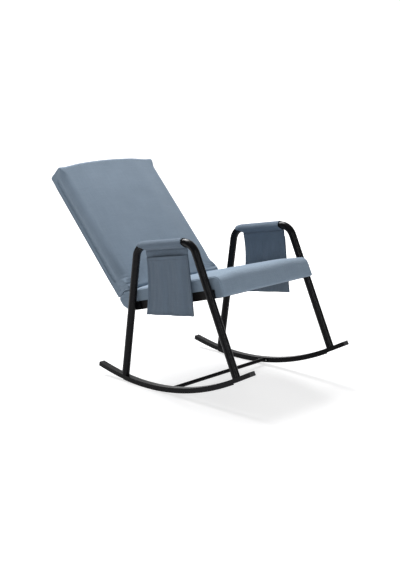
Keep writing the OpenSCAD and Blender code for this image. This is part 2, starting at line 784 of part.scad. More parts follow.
module pocket_front(left) {
    color(pocket_blue) on_side(left) in_side(-frame_width / 2) cloth(mouth_share, true);
}

side_tube(true);  // side_tube_left
side_tube(false);  // side_tube_right
rocker(true);  // rocker_left
rocker(false);  // rocker_right
glide_strip(true);  // glide_strip_left
glide_strip(false);  // glide_strip_right
rocker_plugs_rear();
rocker_plugs_front();
leg_lugs();
leg_inserts();
crossbar();
crossbar_flanges();
flange_screws();
seat_rail(true);  // seat_rail_left
seat_rail(false);  // seat_rail_right
seat_cross_front();
seat_cross_rear();
seat_bolts();
seat_batten();
seat_deck();
seat_cushion();
dust_cover();
back_bracket(true);  // back_bracket_left
back_bracket(false);  // back_bracket_right
bracket_bolts();
back_upright(true);  // back_upright_left
back_upright(false);  // back_upright_right
back_cross_top();
back_cross_low();
back_panel();
back_cushion();
back_cover();
arm_sleeve(true);  // arm_sleeve_left
arm_sleeve(false);  // arm_sleeve_right
pocket_panel(true);  // pocket_panel_left
pocket_panel(false);  // pocket_panel_right
pocket_front(true);  // pocket_front_left
pocket_front(false);  // pocket_front_right
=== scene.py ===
# %% [markdown]
# # A rocking chair in upholstery cloth and black tube
# This lesson dresses a finished CAD model for a picture. The CAD model gives every tube, plate and
# bolt its place. Here each of them gets a finish, and the soft parts are made again as sewn covers,
# because a plain solid never looks like cloth. Lengths are in metres, the floor is at z = 0, and
# the person in the chair would look along -Y.

import json
import math

import bmesh
import bpy
import numpy as np
from mathutils import Matrix, Vector


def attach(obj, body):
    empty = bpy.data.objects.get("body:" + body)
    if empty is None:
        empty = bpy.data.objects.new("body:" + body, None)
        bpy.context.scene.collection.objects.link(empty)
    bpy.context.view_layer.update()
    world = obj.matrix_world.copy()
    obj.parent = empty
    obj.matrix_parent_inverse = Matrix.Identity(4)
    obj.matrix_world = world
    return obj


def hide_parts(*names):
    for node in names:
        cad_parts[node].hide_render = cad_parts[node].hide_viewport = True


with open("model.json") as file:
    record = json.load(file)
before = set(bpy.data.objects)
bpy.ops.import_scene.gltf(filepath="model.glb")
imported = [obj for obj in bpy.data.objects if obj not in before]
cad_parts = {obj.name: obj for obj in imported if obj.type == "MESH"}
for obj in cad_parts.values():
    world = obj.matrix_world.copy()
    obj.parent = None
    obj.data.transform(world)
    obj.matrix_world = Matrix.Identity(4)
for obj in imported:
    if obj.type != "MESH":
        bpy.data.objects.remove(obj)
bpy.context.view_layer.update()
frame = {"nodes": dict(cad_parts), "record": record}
nodes = frame["nodes"]
scene = bpy.context.scene

# %% [markdown]
# The soft parts are drawn in the same frames as in the CAD source. The seat's frame slopes with
# the seat: x runs sideways, -y forward and z up from the underside of the rails. The back's frame
# leans with the back: -y comes out of its front face and z runs up along it. Numbers that repeat
# the CAD source have its names.

# %% Sizes from the CAD source, and the two sloping frames
MM = 0.001
MID_Y = -17.7945 * MM
FRAME_GAP = 560 * MM
HALF_W = 260 * MM
SEAT_Z = 312 * MM
SEAT_TILT = math.radians(15)
BOLT_S = [-70.083 * MM, 354.424 * MM]
SEAT_FRONT = 408.424 * MM
SEAT_REAR = -162.083 * MM
BACK_FOOT = 57 * MM
RECLINE = math.radians(42.6)
BACK_SLOPE = RECLINE - SEAT_TILT
BACK_ORIGIN = [-171.313 * MM, 325.108 * MM]
BACK_LEN = 605 * MM
WRAP = 10 * MM

seat_frame = Matrix.Translation((0, MID_Y, SEAT_Z)) @ Matrix.Rotation(-SEAT_TILT, 4, "X")
back_frame = Matrix.Translation((0, MID_Y - BACK_ORIGIN[0], BACK_ORIGIN[1])) @ Matrix.Rotation(
    -RECLINE, 4, "X"
)
print(f"the seat slopes {math.degrees(SEAT_TILT):.0f} degrees, the back leans {math.degrees(RECLINE):.1f}")

# %% [markdown]
# A few small tools are used again and again. Blender's operators act on whatever is selected, so
# one of them selects a single object first. Others read and write all points of a mesh at once as
# an array, which is quicker than a loop over thousands of points.

# %% Tools for selecting and for meshes
def only(obj):
    bpy.ops.object.select_all(action="DESELECT")
    obj.select_set(True)
    bpy.context.view_layer.objects.active = obj


def apply_modifiers(obj):
    only(obj)
    for name in [m.name for m in obj.modifiers]:
        bpy.ops.object.modifier_apply(modifier=name)


def mesh_piece(name, points, faces, uvs=None):
    """A new object from points and faces; uvs has one pair for each corner of each face."""
    mesh = bpy.data.meshes.new(name)
    mesh.from_pydata([tuple(p) for p in points], [], faces)
    if uvs is not None:
        layer = mesh.uv_layers.new(name="cloth")
        layer.data.foreach_set("uv", np.asarray(uvs, dtype=np.float32).ravel())
    obj = bpy.data.objects.new(name, mesh)
    scene.collection.objects.link(obj)
    return obj


def points_of(obj):
    flat = np.empty(3 * len(obj.data.vertices))
    obj.data.vertices.foreach_get("co", flat)
    return flat.reshape(-1, 3)


def normals_of(obj):
    flat = np.empty(3 * len(obj.data.vertices))
    obj.data.vertices.foreach_get("normal", flat)
    return flat.reshape(-1, 3)


def move_points(obj, points):
    obj.data.vertices.foreach_set("co", np.asarray(points).ravel())
    obj.data.update()

# %% [markdown]
# A new mesh is made sound before it is used: points that lie on each other are merged and every face is
# turned outwards. The finished mesh is then placed in the chair's frame, and its object stays at the origin,
# so patterns that follow object coordinates stay put. Last it gets its material, and its triangles are
# counted.

# %% Tools that finish a piece
def close_and_turn_out(obj):
    """Merges doubles, then turns every face outwards."""
    mesh = bmesh.new()
    mesh.from_mesh(obj.data)
    bmesh.ops.remove_doubles(mesh, verts=mesh.verts, dist=0.01 * MM)
    bmesh.ops.recalc_face_normals(mesh, faces=mesh.faces)
    mesh.to_mesh(obj.data)
    mesh.free()


def settle(obj, place=None, smooth_angle=40):
    """Puts a piece in the chair's frame and leaves its object at the origin."""
    if place is not None:
        obj.data.transform(place)
    only(obj)
    bpy.ops.object.transform_apply(location=True, rotation=True, scale=True)
    bpy.ops.object.shade_smooth_by_angle(angle=math.radians(smooth_angle))


def dress(obj, material, body="root"):
    obj.data.materials.clear()
    obj.data.materials.append(material)
    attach(obj, body)
    count = sum(len(p.vertices) - 2 for p in obj.data.polygons)
    print(f"{obj.name}: {count} triangles")

# %% [markdown]
# ## The camera
# The chair is seen from its front right corner, a little from above. The camera stands about four
# metres away with a long lens, so the far side frame looks nearly as large as the near one.

# %% Camera
CAMERA_AT = Vector((-2.984, -2.8617, 1.260))
CAMERA_BACK = Vector((-0.7105, -0.6707, 0.2130))
FOCAL_PX = 1050
PICTURE_H_PX = 570

camera_data = bpy.data.cameras.new("camera")
camera_data.sensor_width = 36
camera_data.lens = FOCAL_PX / PICTURE_H_PX * camera_data.sensor_width
camera = bpy.data.objects.new("camera", camera_data)
scene.collection.objects.link(camera)
camera.location = CAMERA_AT
camera.rotation_euler = (-CAMERA_BACK).to_track_quat("-Z", "Y").to_euler()
scene.camera = camera
print(f"lens {camera_data.lens:.1f} mm")

# %% [markdown]
# ## The studio
# A product picture like this is taken on a pale sweep: a floor that curves up into the wall behind,
# so no horizon shows. The floor starts as a plane. Its rear edge is extruded up in small steps
# that follow a quarter circle.

# %% Floor with a curved back
FLOOR_SIZE = 14
SWEEP_RADIUS = 2.2
SWEEP_STEPS = 14
WALL_H = 5

bpy.ops.object.select_all(action="DESELECT")
bpy.ops.mesh.primitive_plane_add(size=FLOOR_SIZE, location=(0, 0, 0))
floor = bpy.context.active_object
floor.name = "floor"
bpy.ops.object.mode_set(mode="EDIT")
bpy.ops.mesh.select_all(action="DESELECT")
rim = bmesh.from_edit_mesh(floor.data)
for edge in rim.edges:
    edge.select = all(v.co.y > 0.4 * FLOOR_SIZE for v in edge.verts)
bmesh.update_edit_mesh(floor.data)
for step in range(SWEEP_STEPS):
    low, high = (0.5 * math.pi * k / SWEEP_STEPS for k in (step, step + 1))
    rise = SWEEP_RADIUS * (math.cos(low) - math.cos(high))
    run = SWEEP_RADIUS * (math.sin(high) - math.sin(low))
    bpy.ops.mesh.extrude_region_move(TRANSFORM_OT_translate={"value": (0, run, rise)})
bpy.ops.mesh.extrude_region_move(TRANSFORM_OT_translate={"value": (0, 0, WALL_H)})
bpy.ops.object.mode_set(mode="OBJECT")
floor.rotation_euler = (0, 0, math.atan2(CAMERA_BACK.x, -CAMERA_BACK.y))
settle(floor)
print(f"the floor curves up over a radius of {SWEEP_RADIUS} m")

# %% [markdown]
# ## Light
# The main light is a large soft one, high up and a little behind the chair. It makes the faces that
# look up bright and leaves those that look at the camera darker, and that difference is what shows
# the form of the cushions. A weak light in front keeps the shade open. Two tall narrow lights draw
# the thin bright lines that run down round black tubes.

# %% Light
AIM = Vector((0, 0, 0.35))


def softbox(name, place, size, watts):
    data = bpy.data.lights.new(name, "AREA")
    data.shape = "RECTANGLE"
    data.size, data.size_y = size
    data.energy = watts
    lamp = bpy.data.objects.new(name, data)
    lamp.location = place
    lamp.rotation_euler = (AIM - Vector(place)).to_track_quat("-Z", "Y").to_euler()
    scene.collection.objects.link(lamp)
    print(f"{name}: {size[0]} by {size[1]} m, {watts} W")


softbox("overhead", (0.5, 2.4, 4.2), (3.0, 2.0), 375)
softbox("front_fill", (1.2, -4.2, 1.8), (2.4, 1.8), 6)
softbox("strip_corner", (-3.3, -2.6, 1.5), (0.12, 2.6), 24)
softbox("strip_front", (-0.7, -4.3, 1.6), (0.12, 2.6), 38)

# %% [markdown]
# ## Building with nodes
# Backdrop and finishes are built from nodes, with no pictures. These helpers start a material, add
# a sum, or map a value to a range, and give back the socket that comes out, so that a pattern reads
# like a formula.

# %% Small helpers for node trees
def new_material(name, color, roughness, metallic=0.0):
    material = bpy.data.materials.new(name)
    material.use_nodes = True
    shader = material.node_tree.nodes["Principled BSDF"]
    shader.inputs["Base Color"].default_value = (*color, 1)
    shader.inputs["Roughness"].default_value = roughness
    shader.inputs["Metallic"].default_value = metallic
    print(f"finish {name}")
    return material, material.node_tree, shader


def math_node(tree, operation, a, b=None):
    node = tree.nodes.new("ShaderNodeMath")
    node.operation = operation
    for socket, value in zip(node.inputs, (a, b)):
        if value is None:
            continue
        if isinstance(value, (int, float)):
            socket.default_value = value
        else:
            tree.links.new(value, socket)
    return node.outputs[0]


def spread(tree, value, low, high, from_low=0.3, from_high=0.7, smooth=False):
    """Maps a value to a range; from_low and from_high suit noise, which keeps near 0.5."""
    node = tree.nodes.new("ShaderNodeMapRange")
    if smooth:
        node.interpolation_type = "SMOOTHSTEP"
    for name, number in (
        ("From Min", from_low), ("From Max", from_high), ("To Min", low), ("To Max", high)
    ):
        node.inputs[name].default_value = number
    tree.links.new(value, node.inputs["Value"])
    return node.outputs["Result"]

# %% [markdown]
# The wall behind is pure white to the camera, but gives only a weak light of its own. A strong one
# would come from all sides at once and flatten every form. The Light Path node tells the two uses
# apart: it says whether a ray was sent by the camera.

# %% White background
WORLD_SEEN, WORLD_LIGHT = 1.05, 0.19


def for_camera(tree, light, seen):
    """One value for the rays that light the chair, another for those that the camera sends."""
    ray = tree.nodes.new("ShaderNodeLightPath").outputs["Is Camera Ray"]
    return spread(tree, ray, light, seen, 0, 1)


world = bpy.data.worlds.new("studio")
world.use_nodes = True
backdrop = world.node_tree.nodes["Background"]
backdrop.inputs["Color"].default_value = (1, 1, 1, 1)
strength = for_camera(world.node_tree, WORLD_LIGHT, WORLD_SEEN)
world.node_tree.links.new(strength, backdrop.inputs["Strength"])
scene.world = world
scene.view_settings.view_transform = "Standard"
print(f"the wall is seen at {WORLD_SEEN} and lights the chair at {WORLD_LIGHT}")

# %% [markdown]
# The paper on the floor has to be as white as the wall, or its edge would show, but near the chair
# a soft shade has to stay visible. So the paper glows, less within half a metre of the chair's
# middle and fully from about two metres on. The camera sees all of that glow. The chair gets about
# half of it, so its faces aren't lit evenly from below.

# %% A floor that glows
GLOW_START, GLOW_END = 0.5, 2.2
GLOW_NEAR, GLOW_FAR = 0.66, 1.05
GLOW_LIGHT_SHARE = 0.55

paper, tree, shader = new_material("white_sweep", (0.45, 0.45, 0.455), 0.45)
shader.inputs["Emission Color"].default_value = (1, 1, 1, 1)
distance = tree.nodes.new("ShaderNodeVectorMath")
distance.operation = "LENGTH"
tree.links.new(tree.nodes.new("ShaderNodeTexCoord").outputs["Object"], distance.inputs[0])
glow = spread(tree, distance.outputs["Value"], GLOW_NEAR, GLOW_FAR, GLOW_START, GLOW_END, smooth=True)
split_glow = math_node(tree, "MULTIPLY", glow, for_camera(tree, GLOW_LIGHT_SHARE, 1))
tree.links.new(split_glow, shader.inputs["Emission Strength"])
floor.data.materials.append(paper)

# %% [markdown]
# Nearly every finish needs the same four things: an uneven value, a colour that follows it, a
# surface that is tilted by it, and a lighter or darker tone of a colour. The noise is read from the
# place on the object, or from the cloth's map where one is given.

# %% Noise, shades and bumps
def object_noise(tree, scale, detail=2.0, stretch=(1, 1, 1), source=None):
    mapping = tree.nodes.new("ShaderNodeMapping")
    mapping.inputs["Scale"].default_value = stretch
    noise = tree.nodes.new("ShaderNodeTexNoise")
    noise.inputs["Scale"].default_value = scale
    noise.inputs["Detail"].default_value = detail
    if source is None:
        source = tree.nodes.new("ShaderNodeTexCoord").outputs["Object"]
    tree.links.new(source, mapping.inputs["Vector"])
    tree.links.new(mapping.outputs["Vector"], noise.inputs["Vector"])
    return noise.outputs["Fac"]


def shades(tree, value, dark, light):
    """A colour that runs from dark to light with a value from 0 to 1."""
    mix = tree.nodes.new("ShaderNodeMix")
    mix.data_type = "RGBA"
    tree.links.new(value, mix.inputs["Factor"])
    mix.inputs["A"].default_value = (*dark, 1)
    mix.inputs["B"].default_value = (*light, 1)
    return mix.outputs["Result"]


def bump(tree, shader, height, strength, distance):
    node = tree.nodes.new("ShaderNodeBump")
    node.inputs["Strength"].default_value = strength
    node.inputs["Distance"].default_value = distance
    tree.links.new(height, node.inputs["Height"])
    tree.links.new(node.outputs["Normal"], shader.inputs["Normal"])


def tone(color, factor):
    return tuple(c * factor for c in color)

# %% [markdown]
# ## Finishes
# The steel tubes have a baked powder coat, which is never quite even: it has a fine orange-peel
# surface and a slow change of gloss. Both are noise, a quick one that tilts the surface and a slow
# one that changes roughness. Plastic, rubber, zinc and timber are made the same way, each with a
# noise of its own size, because a hard material with one flat colour looks like a drawing.

# %% Paint, plastic, rubber, zinc and timber
def powder_coat(name, color, roughness):
    material, tree, shader = new_material(name, color, roughness)
    shader.inputs["Specular IOR Level"].default_value = 0.14
    wear = object_noise(tree, 9, 4)
    tree.links.new(shades(tree, spread(tree, wear, 0, 1), tone(color, 0.85), tone(color, 1.25)),
                   shader.inputs["Base Color"])
    tree.links.new(spread(tree, object_noise(tree, 35, 3), roughness - 0.05, roughness + 0.07),
                   shader.inputs["Roughness"])
    bump(tree, shader, object_noise(tree, 900, 2), 0.12, 0.15 * MM)
    return material


def moulded_plastic(name, color):
    material, tree, shader = new_material(name, color, 0.5)
    tree.links.new(shades(tree, spread(tree, object_noise(tree, 60, 2), 0, 1),
                          tone(color, 0.9), tone(color, 1.15)), shader.inputs["Base Color"])
    bump(tree, shader, object_noise(tree, 1600, 1), 0.25, 0.08 * MM)
    return material


def matte_rubber(name, color):
    material, tree, shader = new_material(name, color, 0.8)
    tree.links.new(spread(tree, object_noise(tree, 45, 4), 0.7, 0.9), shader.inputs["Roughness"])
    bump(tree, shader, object_noise(tree, 700, 3), 0.4, 0.2 * MM)
    return material


def zinc_plate(name):
    material, tree, shader = new_material(name, (0.42, 0.43, 0.44), 0.4, metallic=1.0)
    bloom = object_noise(tree, 120, 3)
    tree.links.new(spread(tree, bloom, 0.25, 0.45), shader.inputs["Roughness"])
    tree.links.new(shades(tree, bloom, (0.34, 0.35, 0.36), (0.5, 0.5, 0.49)),
                   shader.inputs["Base Color"])
    return material


def raw_timber(name):
    material, tree, shader = new_material(name, (0.56, 0.40, 0.22), 0.65)
    grain = object_noise(tree, 60, 6, stretch=(0.12, 1, 1))
    tree.links.new(shades(tree, spread(tree, grain, 0, 1), (0.42, 0.27, 0.13), (0.66, 0.49, 0.29)),
                   shader.inputs["Base Color"])
    bump(tree, shader, grain, 0.3, 0.3 * MM)
    return material

# %% [markdown]
# The frame is deep black with narrow highlights. The rails under the seat are a little browner and
# duller, and the plugs and the strips under the runners duller again. Bolts are zinc plated, and
# the boards inside the cushions are raw timber.

# %% The chair's hard finishes
black_frame = powder_coat("black_powder_coat", (0.004, 0.004, 0.005), 0.26)
black_rail = powder_coat("black_brown_paint", (0.008, 0.007, 0.007), 0.40)
black_plug = moulded_plastic("black_moulded_plastic", (0.03, 0.03, 0.033))
black_rubber = matte_rubber("black_rubber", (0.010, 0.010, 0.010))
zinc = zinc_plate("zinc_plate")
timber = raw_timber("raw_timber")

# %% [markdown]
# The cloth is a plain weave: two sets of threads that pass over and under each other. A picture of
# cloth would repeat and blur, so the weave is drawn with a little arithmetic on the cloth's own
# map, in metres. Each thread set is a row of rounded ridges. Where the two cross, a checker pattern
# says which one is on top. Quick stretched noise gives single threads a slightly different
# thickness, as spun yarn has.

# %% The threads of a plain weave
def thread_ridges(tree, cloth_map, pitch):
    """1 on the crest of the thread that lies on top, 0 in the hollows between threads."""
    split = tree.nodes.new("ShaderNodeSeparateXYZ")
    tree.links.new(cloth_map, split.inputs["Vector"])
    across = math_node(tree, "DIVIDE", split.outputs["X"], pitch)
    along = math_node(tree, "DIVIDE", split.outputs["Y"], pitch)
    ridges = []
    for value in (across, along):
        turn = math_node(tree, "MULTIPLY", value, math.pi)
        ridges.append(math_node(tree, "ABSOLUTE", math_node(tree, "SINE", turn)))
    cell = math_node(tree, "ADD", math_node(tree, "FLOOR", across), math_node(tree, "FLOOR", along))
    warp_on_top = math_node(tree, "PINGPONG", cell, 1.0)
    weft_on_top = math_node(tree, "SUBTRACT", 1.0, warp_on_top)
    warp = math_node(tree, "MULTIPLY", ridges[0], warp_on_top)
    weft = math_node(tree, "MULTIPLY", ridges[1], weft_on_top)
    return math_node(tree, "ADD", warp, weft)


def uneven_yarn(tree, cloth_map, pitch):
    """Noise drawn out along both sets of threads."""
    scale = 1 / pitch / 3
    warp = object_noise(tree, scale, 1, stretch=(1, 0.04, 1), source=cloth_map)
    weft = object_noise(tree, scale, 1, stretch=(0.04, 1, 1), source=cloth_map)
    return math_node(tree, "MULTIPLY", math_node(tree, "ADD", warp, weft), 0.5)

# %% [markdown]
# The colour of the cloth runs from a darker to a lighter shade of itself. Three things decide which one shows
# at a place: the thread's own ridge, which paints shade into the hollows between threads and light onto their
# crests, the unevenness of its yarn, and a slow cloudiness over a hand's width. The ridges also tilt the
# surface, so the weave catches light from the side.

# %% Plain weave
def woven_cloth(name, color, pitch, sheen, contrast=0.10):
    material, tree, shader = new_material(name, color, 0.92)
    shader.inputs["Sheen Weight"].default_value = sheen
    shader.inputs["Sheen Roughness"].default_value = 0.55
    shader.inputs["Specular IOR Level"].default_value = 0.25
    uv_node = tree.nodes.new("ShaderNodeUVMap")
    uv_node.uv_map = "cloth"
    cloth_map = uv_node.outputs["UV"]
    ridges = thread_ridges(tree, cloth_map, pitch)
    yarn = uneven_yarn(tree, cloth_map, pitch)
    cloud = object_noise(tree, 14, 3, source=cloth_map)
    tone_and_thread_shade = math_node(tree, "MULTIPLY", spread(tree, cloud, 0, 1), 0.3)
    for value in (spread(tree, yarn, 0, 1, 0.4, 0.6), ridges):
        tone_and_thread_shade = math_node(tree, "ADD", tone_and_thread_shade, math_node(tree, "MULTIPLY", value, 0.35))
    # Painted shade in the hollows between threads and painted light on their crests; the yarn and cloud terms
    # are random tone.
    tree.links.new(shades(tree, tone_and_thread_shade, tone(color, 1 - contrast), tone(color, 1 + contrast)),
                   shader.inputs["Base Color"])
    height = math_node(tree, "ADD", ridges, math_node(tree, "MULTIPLY", yarn, 0.6))
    bump(tree, shader, height, 0.45, 0.35 * MM)
    return material

# %% [markdown]
# The cushions have a blue-grey cloth. The arms and pockets have the same cloth, darkened as painted shade.
# The cloth under the seat isn't woven: its fibres are pressed together every way, which stretched noise shows
# well enough, since it is seen only from below.

# %% The chair's cloths
def nonwoven(name, color):
    material, tree, shader = new_material(name, color, 0.9)
    fibres = object_noise(tree, 400, 4, stretch=(1, 0.3, 1))
    tree.links.new(shades(tree, spread(tree, fibres, 0, 1), tone(color, 0.6), tone(color, 1.8)),
                   shader.inputs["Base Color"])
    bump(tree, shader, fibres, 0.5, 0.3 * MM)
    return material


upholstery = woven_cloth("upholstery_weave", (0.200, 0.262, 0.335), 1.1 * MM, 0.12)
# Painted shade: the upholstery's own cloth, made darker for the arm cloths and pockets.
pocket_cloth = woven_cloth("upholstery_weave_painted_shade", (0.120, 0.160, 0.210), 1.0 * MM, 0.10, 0.07)
thread = moulded_plastic("sewing_thread", (0.035, 0.05, 0.07))
dust_cloth = nonwoven("black_dust_cloth", (0.012, 0.012, 0.014))

# %% [markdown]
# ## Finishes on the CAD parts
# A CAD part keeps its mesh. Only its material is changed, by the part's name.

# %% Give the CAD parts their finishes
FINISH_OF_SLOT = {
    "frame_black": black_frame,
    "rail_black": black_rail,
    "end_plug": black_plug,
    "glide_rubber": black_rubber,
    "zinc": zinc,
    "timber": timber,
    "upholstery": upholstery,
    "pocket_cloth": pocket_cloth,
    "dust_cloth": dust_cloth,
}
slot_of = {part["node"]: part["material_slot"] for part in frame["record"]["subparts"]}
for name, obj in nodes.items():
    obj.data.materials.clear()
    obj.data.materials.append(FINISH_OF_SLOT[slot_of[name]])
print(f"{len(nodes)} CAD parts have their finish")

# %% [markdown]
# ## Upholstery
# Seat and back are slabs of foam under a sewn cover: one long strip of cloth runs round the slab,
# and a side panel closes each end. So the cover is built the same way. An outline of the slab's
# side view is drawn as four lines, one for each side of the slab, and copies of it are set side by
# side across the chair. Near the edge the copies are drawn in along a quarter circle. Each side
# panel is then filled with rows of points that blend from line to line.

# %% Outline tools
def arc_points(centre, radius, start, end, count=12):
    turn = np.radians(np.linspace(start, end, count + 1))
    return [(centre[0] + radius * math.cos(a), centre[1] + radius * math.sin(a)) for a in turn]


def distances(line):
    """How far along a line each of its points lies."""
    return np.concatenate([[0], np.cumsum(np.linalg.norm(np.diff(line, axis=0), axis=1))])


def spaced(line, count):
    """An open line's points at even steps, finer near its ends, without its last point."""
    line = np.array(line)
    run = distances(line)
    share = np.arange(count) / count
    share = share - 0.35 * np.sin(2 * math.pi * share) / (2 * math.pi)
    return np.stack([np.interp(share * run[-1], run, line[:, k]) for k in (0, 1)], axis=1)


def outward(ring):
    """Outward normals of a closed outline that runs anticlockwise."""
    along = np.roll(ring, -1, axis=0) - np.roll(ring, 1, axis=0)
    along /= np.linalg.norm(along, axis=1)[:, None]
    return np.stack([along[:, 1], -along[:, 0]], axis=1)


def fade(value, low, high):
    """0 below low, 1 above high, and smooth between."""
    t = np.clip((value - low) / (high - low), 0, 1)
    return t * t * (3 - 2 * t)

# %% [markdown]
# From the side the seat is a long slab with a rolled front edge. Its rear end is cut at the slope
# on which the back lies, and rounds under to the tail. The top is fuller in the middle of the chair
# than at its sides, because the foam is held down along the side seams.

# %% The seat's outline
SEAT_EDGE, SEAT_CROWN, SEAT_ROLL, NOSE_LEAN, TAIL_R = (n * MM for n in (80, 5, 36, 7, 65))
SEAM_R = 8 * MM
CROWN_SHARE = 0.6
LONG_COUNT, SHORT_COUNT = 76, 20


def crown_at(share):
    """Fullness of the crown, from 1 in the middle to 0 at the sides, level at both."""
    return 1 - fade(share, CROWN_SHARE, 1)


def seat_sides(share):
    """Front, top, rear and underside at a share of the way from the middle to the side."""
    k = crown_at(share)
    top = SEAT_EDGE + k * SEAT_CROWN
    front = SEAT_FRONT + 2 * MM * k
    roll = (front - NOSE_LEAN - SEAT_ROLL, top - SEAT_ROLL)
    joint = (SEAT_REAR + (top - BACK_FOOT) / math.tan(BACK_SLOPE), top)
    drop = TAIL_R - BACK_FOOT
    tail = (SEAT_REAR + math.sqrt(TAIL_R**2 - drop**2), TAIL_R)
    tail_from = 180 + math.degrees(math.asin(drop / TAIL_R))
    face = arc_points((front - SEAM_R, SEAM_R), SEAM_R, -90, 0, 6) + arc_points(roll, SEAT_ROLL, 0, 90, 16)
    rear = [joint, (SEAT_REAR, BACK_FOOT), *arc_points(tail, TAIL_R, tail_from, 270, 12)]
    return [
        spaced(face, SHORT_COUNT), spaced([face[-1], joint], LONG_COUNT),
        spaced(rear, SHORT_COUNT), spaced([rear[-1], face[0]], LONG_COUNT),
    ]


depth_mm, edge_mm = (SEAT_FRONT - SEAT_REAR) / MM, SEAT_EDGE / MM
print(f"the seat is {depth_mm:.0f} mm from front to tail and {edge_mm:.0f} mm thick at its sides")

# %% [markdown]
# The back is drawn in the same way in its own leaning frame. Its front bulges towards the sitter,
# its top edge arches a little, and its foot lies first on the slope behind the seat and then on the
# seat's top, with a gap no wider than a hair. The rows of points are close together near the seam
# that joins the front panel to the strip, because a sharp groove is pressed in there later.

# %% The back's outline
BACK_EDGE, BACK_CROWN, BACK_ARCH, BACK_GAP = (n * MM for n in (72, 10, 13, 0.3))
PLUMP = 8 * MM
STRIP_SEAM = 30 * MM
STRIP_ROWS = [n * MM for n in (1, 3, 8, 15, 22, 26, 28, 29, 30, 31, 32, 34, 38, 44, 51)]


def back_sides(share):
    """Front, top, rear and foot. The foot rests on the slope behind the seat, then on its top."""
    k = crown_at(share)
    depth = BACK_EDGE + PLUMP + k * BACK_CROWN / 2
    top = BACK_LEN - 5 * MM + (1 - share**2) * BACK_ARCH
    brow = SEAM_R + k * BACK_CROWN / 4 + (1 - k) * 3 * MM
    seat_top = SEAT_EDGE + k * SEAT_CROWN + BACK_GAP - BACK_FOOT
    joint = ((seat_top - BACK_GAP * math.cos(BACK_SLOPE)) / math.sin(BACK_SLOPE), BACK_GAP)
    toe_n = depth - SEAM_R
    toe = (toe_n, (seat_top - toe_n * math.sin(BACK_SLOPE) + SEAM_R) / math.cos(BACK_SLOPE))
    face = [
        *arc_points(toe, SEAM_R, -90 - math.degrees(BACK_SLOPE), 0, 8),
        *arc_points((depth - brow, top - brow), brow, 0, 90, 8),
    ]
    edge = [face[-1], ((face[-1][0] + STRIP_ROWS[-1]) / 2, top)]
    for n in reversed(STRIP_ROWS):
        edge.append((n, top - SEAM_R + math.sqrt(SEAM_R**2 - max(0, SEAM_R - n) ** 2)))
    foot = [(0, BACK_GAP), *((n, BACK_GAP) for n in STRIP_ROWS), joint]
    return [spaced(face, 92), np.array(edge), spaced([(0, top - SEAM_R), foot[0]], 92), np.array(foot)]


print(f"the back is {BACK_LEN / MM:.0f} mm long, its seam {STRIP_SEAM / MM:.0f} mm from the rear")

# %% [markdown]
# Each side of a cushion is closed by a flat panel. To keep its rows of points in line with the
# strip round it, the panel is filled by blending: every inner point is an average of the points
# straight across from it on the four sides. The same weights say how far a point is from the rim,
# which later draws the middle of the panel in a little.

# %% Fill a side panel
def quads(rows, columns):
    """The faces of a grid whose points stand row by row."""
    starts = [row * columns + column for row in range(rows - 1) for column in range(columns - 1)]
    return [(v, v + 1, v + columns + 1, v + columns) for v in starts]


def side_panel(rings):
    """Fills a closed outline, given as its four sides, with points blended from side to side."""
    closed = [np.vstack([a, b[:1]]) for a, b in zip(rings, rings[1:] + rings[:1])]
    long_a, across_a, long_b, across_b = closed
    long_b, across_b = long_b[::-1], across_b[::-1]
    u = np.linspace(0, 1, len(long_a))[:, None, None]
    v = np.linspace(0, 1, len(across_a))[None, :, None]
    blend = (1 - v) * long_a[:, None] + v * long_b[:, None]
    blend += (1 - u) * across_b[None] + u * across_a[None]
    blend -= (1 - u) * ((1 - v) * long_a[0] + v * long_b[0])
    blend -= u * ((1 - v) * long_a[-1] + v * long_b[-1])
    return blend, (u * (1 - u) * v * (1 - v) * 16)[..., 0]

# %% [markdown]
# The outline is now repeated from one side of the chair to the other. The steps are fine at the
# seams, where the outline is drawn in along a quarter circle, and grow to a few millimetres in the
# middle. A flat slab with a bevelled edge would be quicker, but could not swell, gather or fold
# like cloth.

# %% Set the outlines side by side
STEP = 6.5 * MM
EDGE_STEP = 2 * MM
STEP_GROWTH = 1.35
SEAM_ANGLES = (0, 15, 29, 39, 43, 47, 51, 61, 75, 90)


def outlines_across(sides, edge_radius):
    """Columns from side to side, each as (x of its points, outline, distance across the cloth)."""
    flat = np.vstack(sides(1))
    radius, normal = edge_radius(flat), outward(flat)
    half = []
    for angle in np.radians(SEAM_ANGLES):
        x = HALF_W - radius * (1 - math.cos(angle))
        ring = flat - (radius * (1 - math.sin(angle)))[:, None] * normal
        half.append((x, ring, HALF_W - radius + radius * (math.pi / 2 - angle)))
    inner = HALF_W - radius.max()
    x, gap = inner, EDGE_STEP
    while x > 0:
        x = x - gap if x - gap > STEP / 2 else 0
        gap = min(STEP, STEP_GROWTH * gap)
        level = np.full(len(flat), x)
        half.append((level, np.vstack(sides(x / inner)), level))
    return half + [(-x, ring, -across) for x, ring, across in half[-2::-1]]

# %% [markdown]
# Between two neighbouring outlines lies one ring of faces. The cloth's map is measured along the
# outline and across the chair, so the weave keeps its size everywhere. On the last face of a ring
# the map runs on by one step, because it can't jump back to its start within a face.

# %% The strip that runs round
def strip_round(columns):
    """Points, faces and cloth map of the strip that runs round the slab."""
    points, cloth_map = [], []
    for x, ring, across in columns:
        points += [(a, -b[0], b[1]) for a, b in zip(x, ring)]
        cloth_map += list(zip(across, distances(ring)))
    count = len(columns[0][1])
    faces, uvs = [], []
    for j in range(len(columns) - 1):
        for i in range(count):
            k = (i + 1) % count
            quad = (j * count + i, j * count + k, (j + 1) * count + k, (j + 1) * count + i)
            faces.append(quad)
            corner = [list(cloth_map[v]) for v in quad]
            if k == 0:
                corner[1][1] = corner[0][1] + STEP
                corner[2][1] = corner[3][1] + STEP
            uvs += corner
    return points, faces, uvs

# %% [markdown]
# Strip and side panels are put together as a sewer would: the panels' rims lie exactly on the
# strip's edges, and merging the doubled points sews them up. The result is one closed cover.

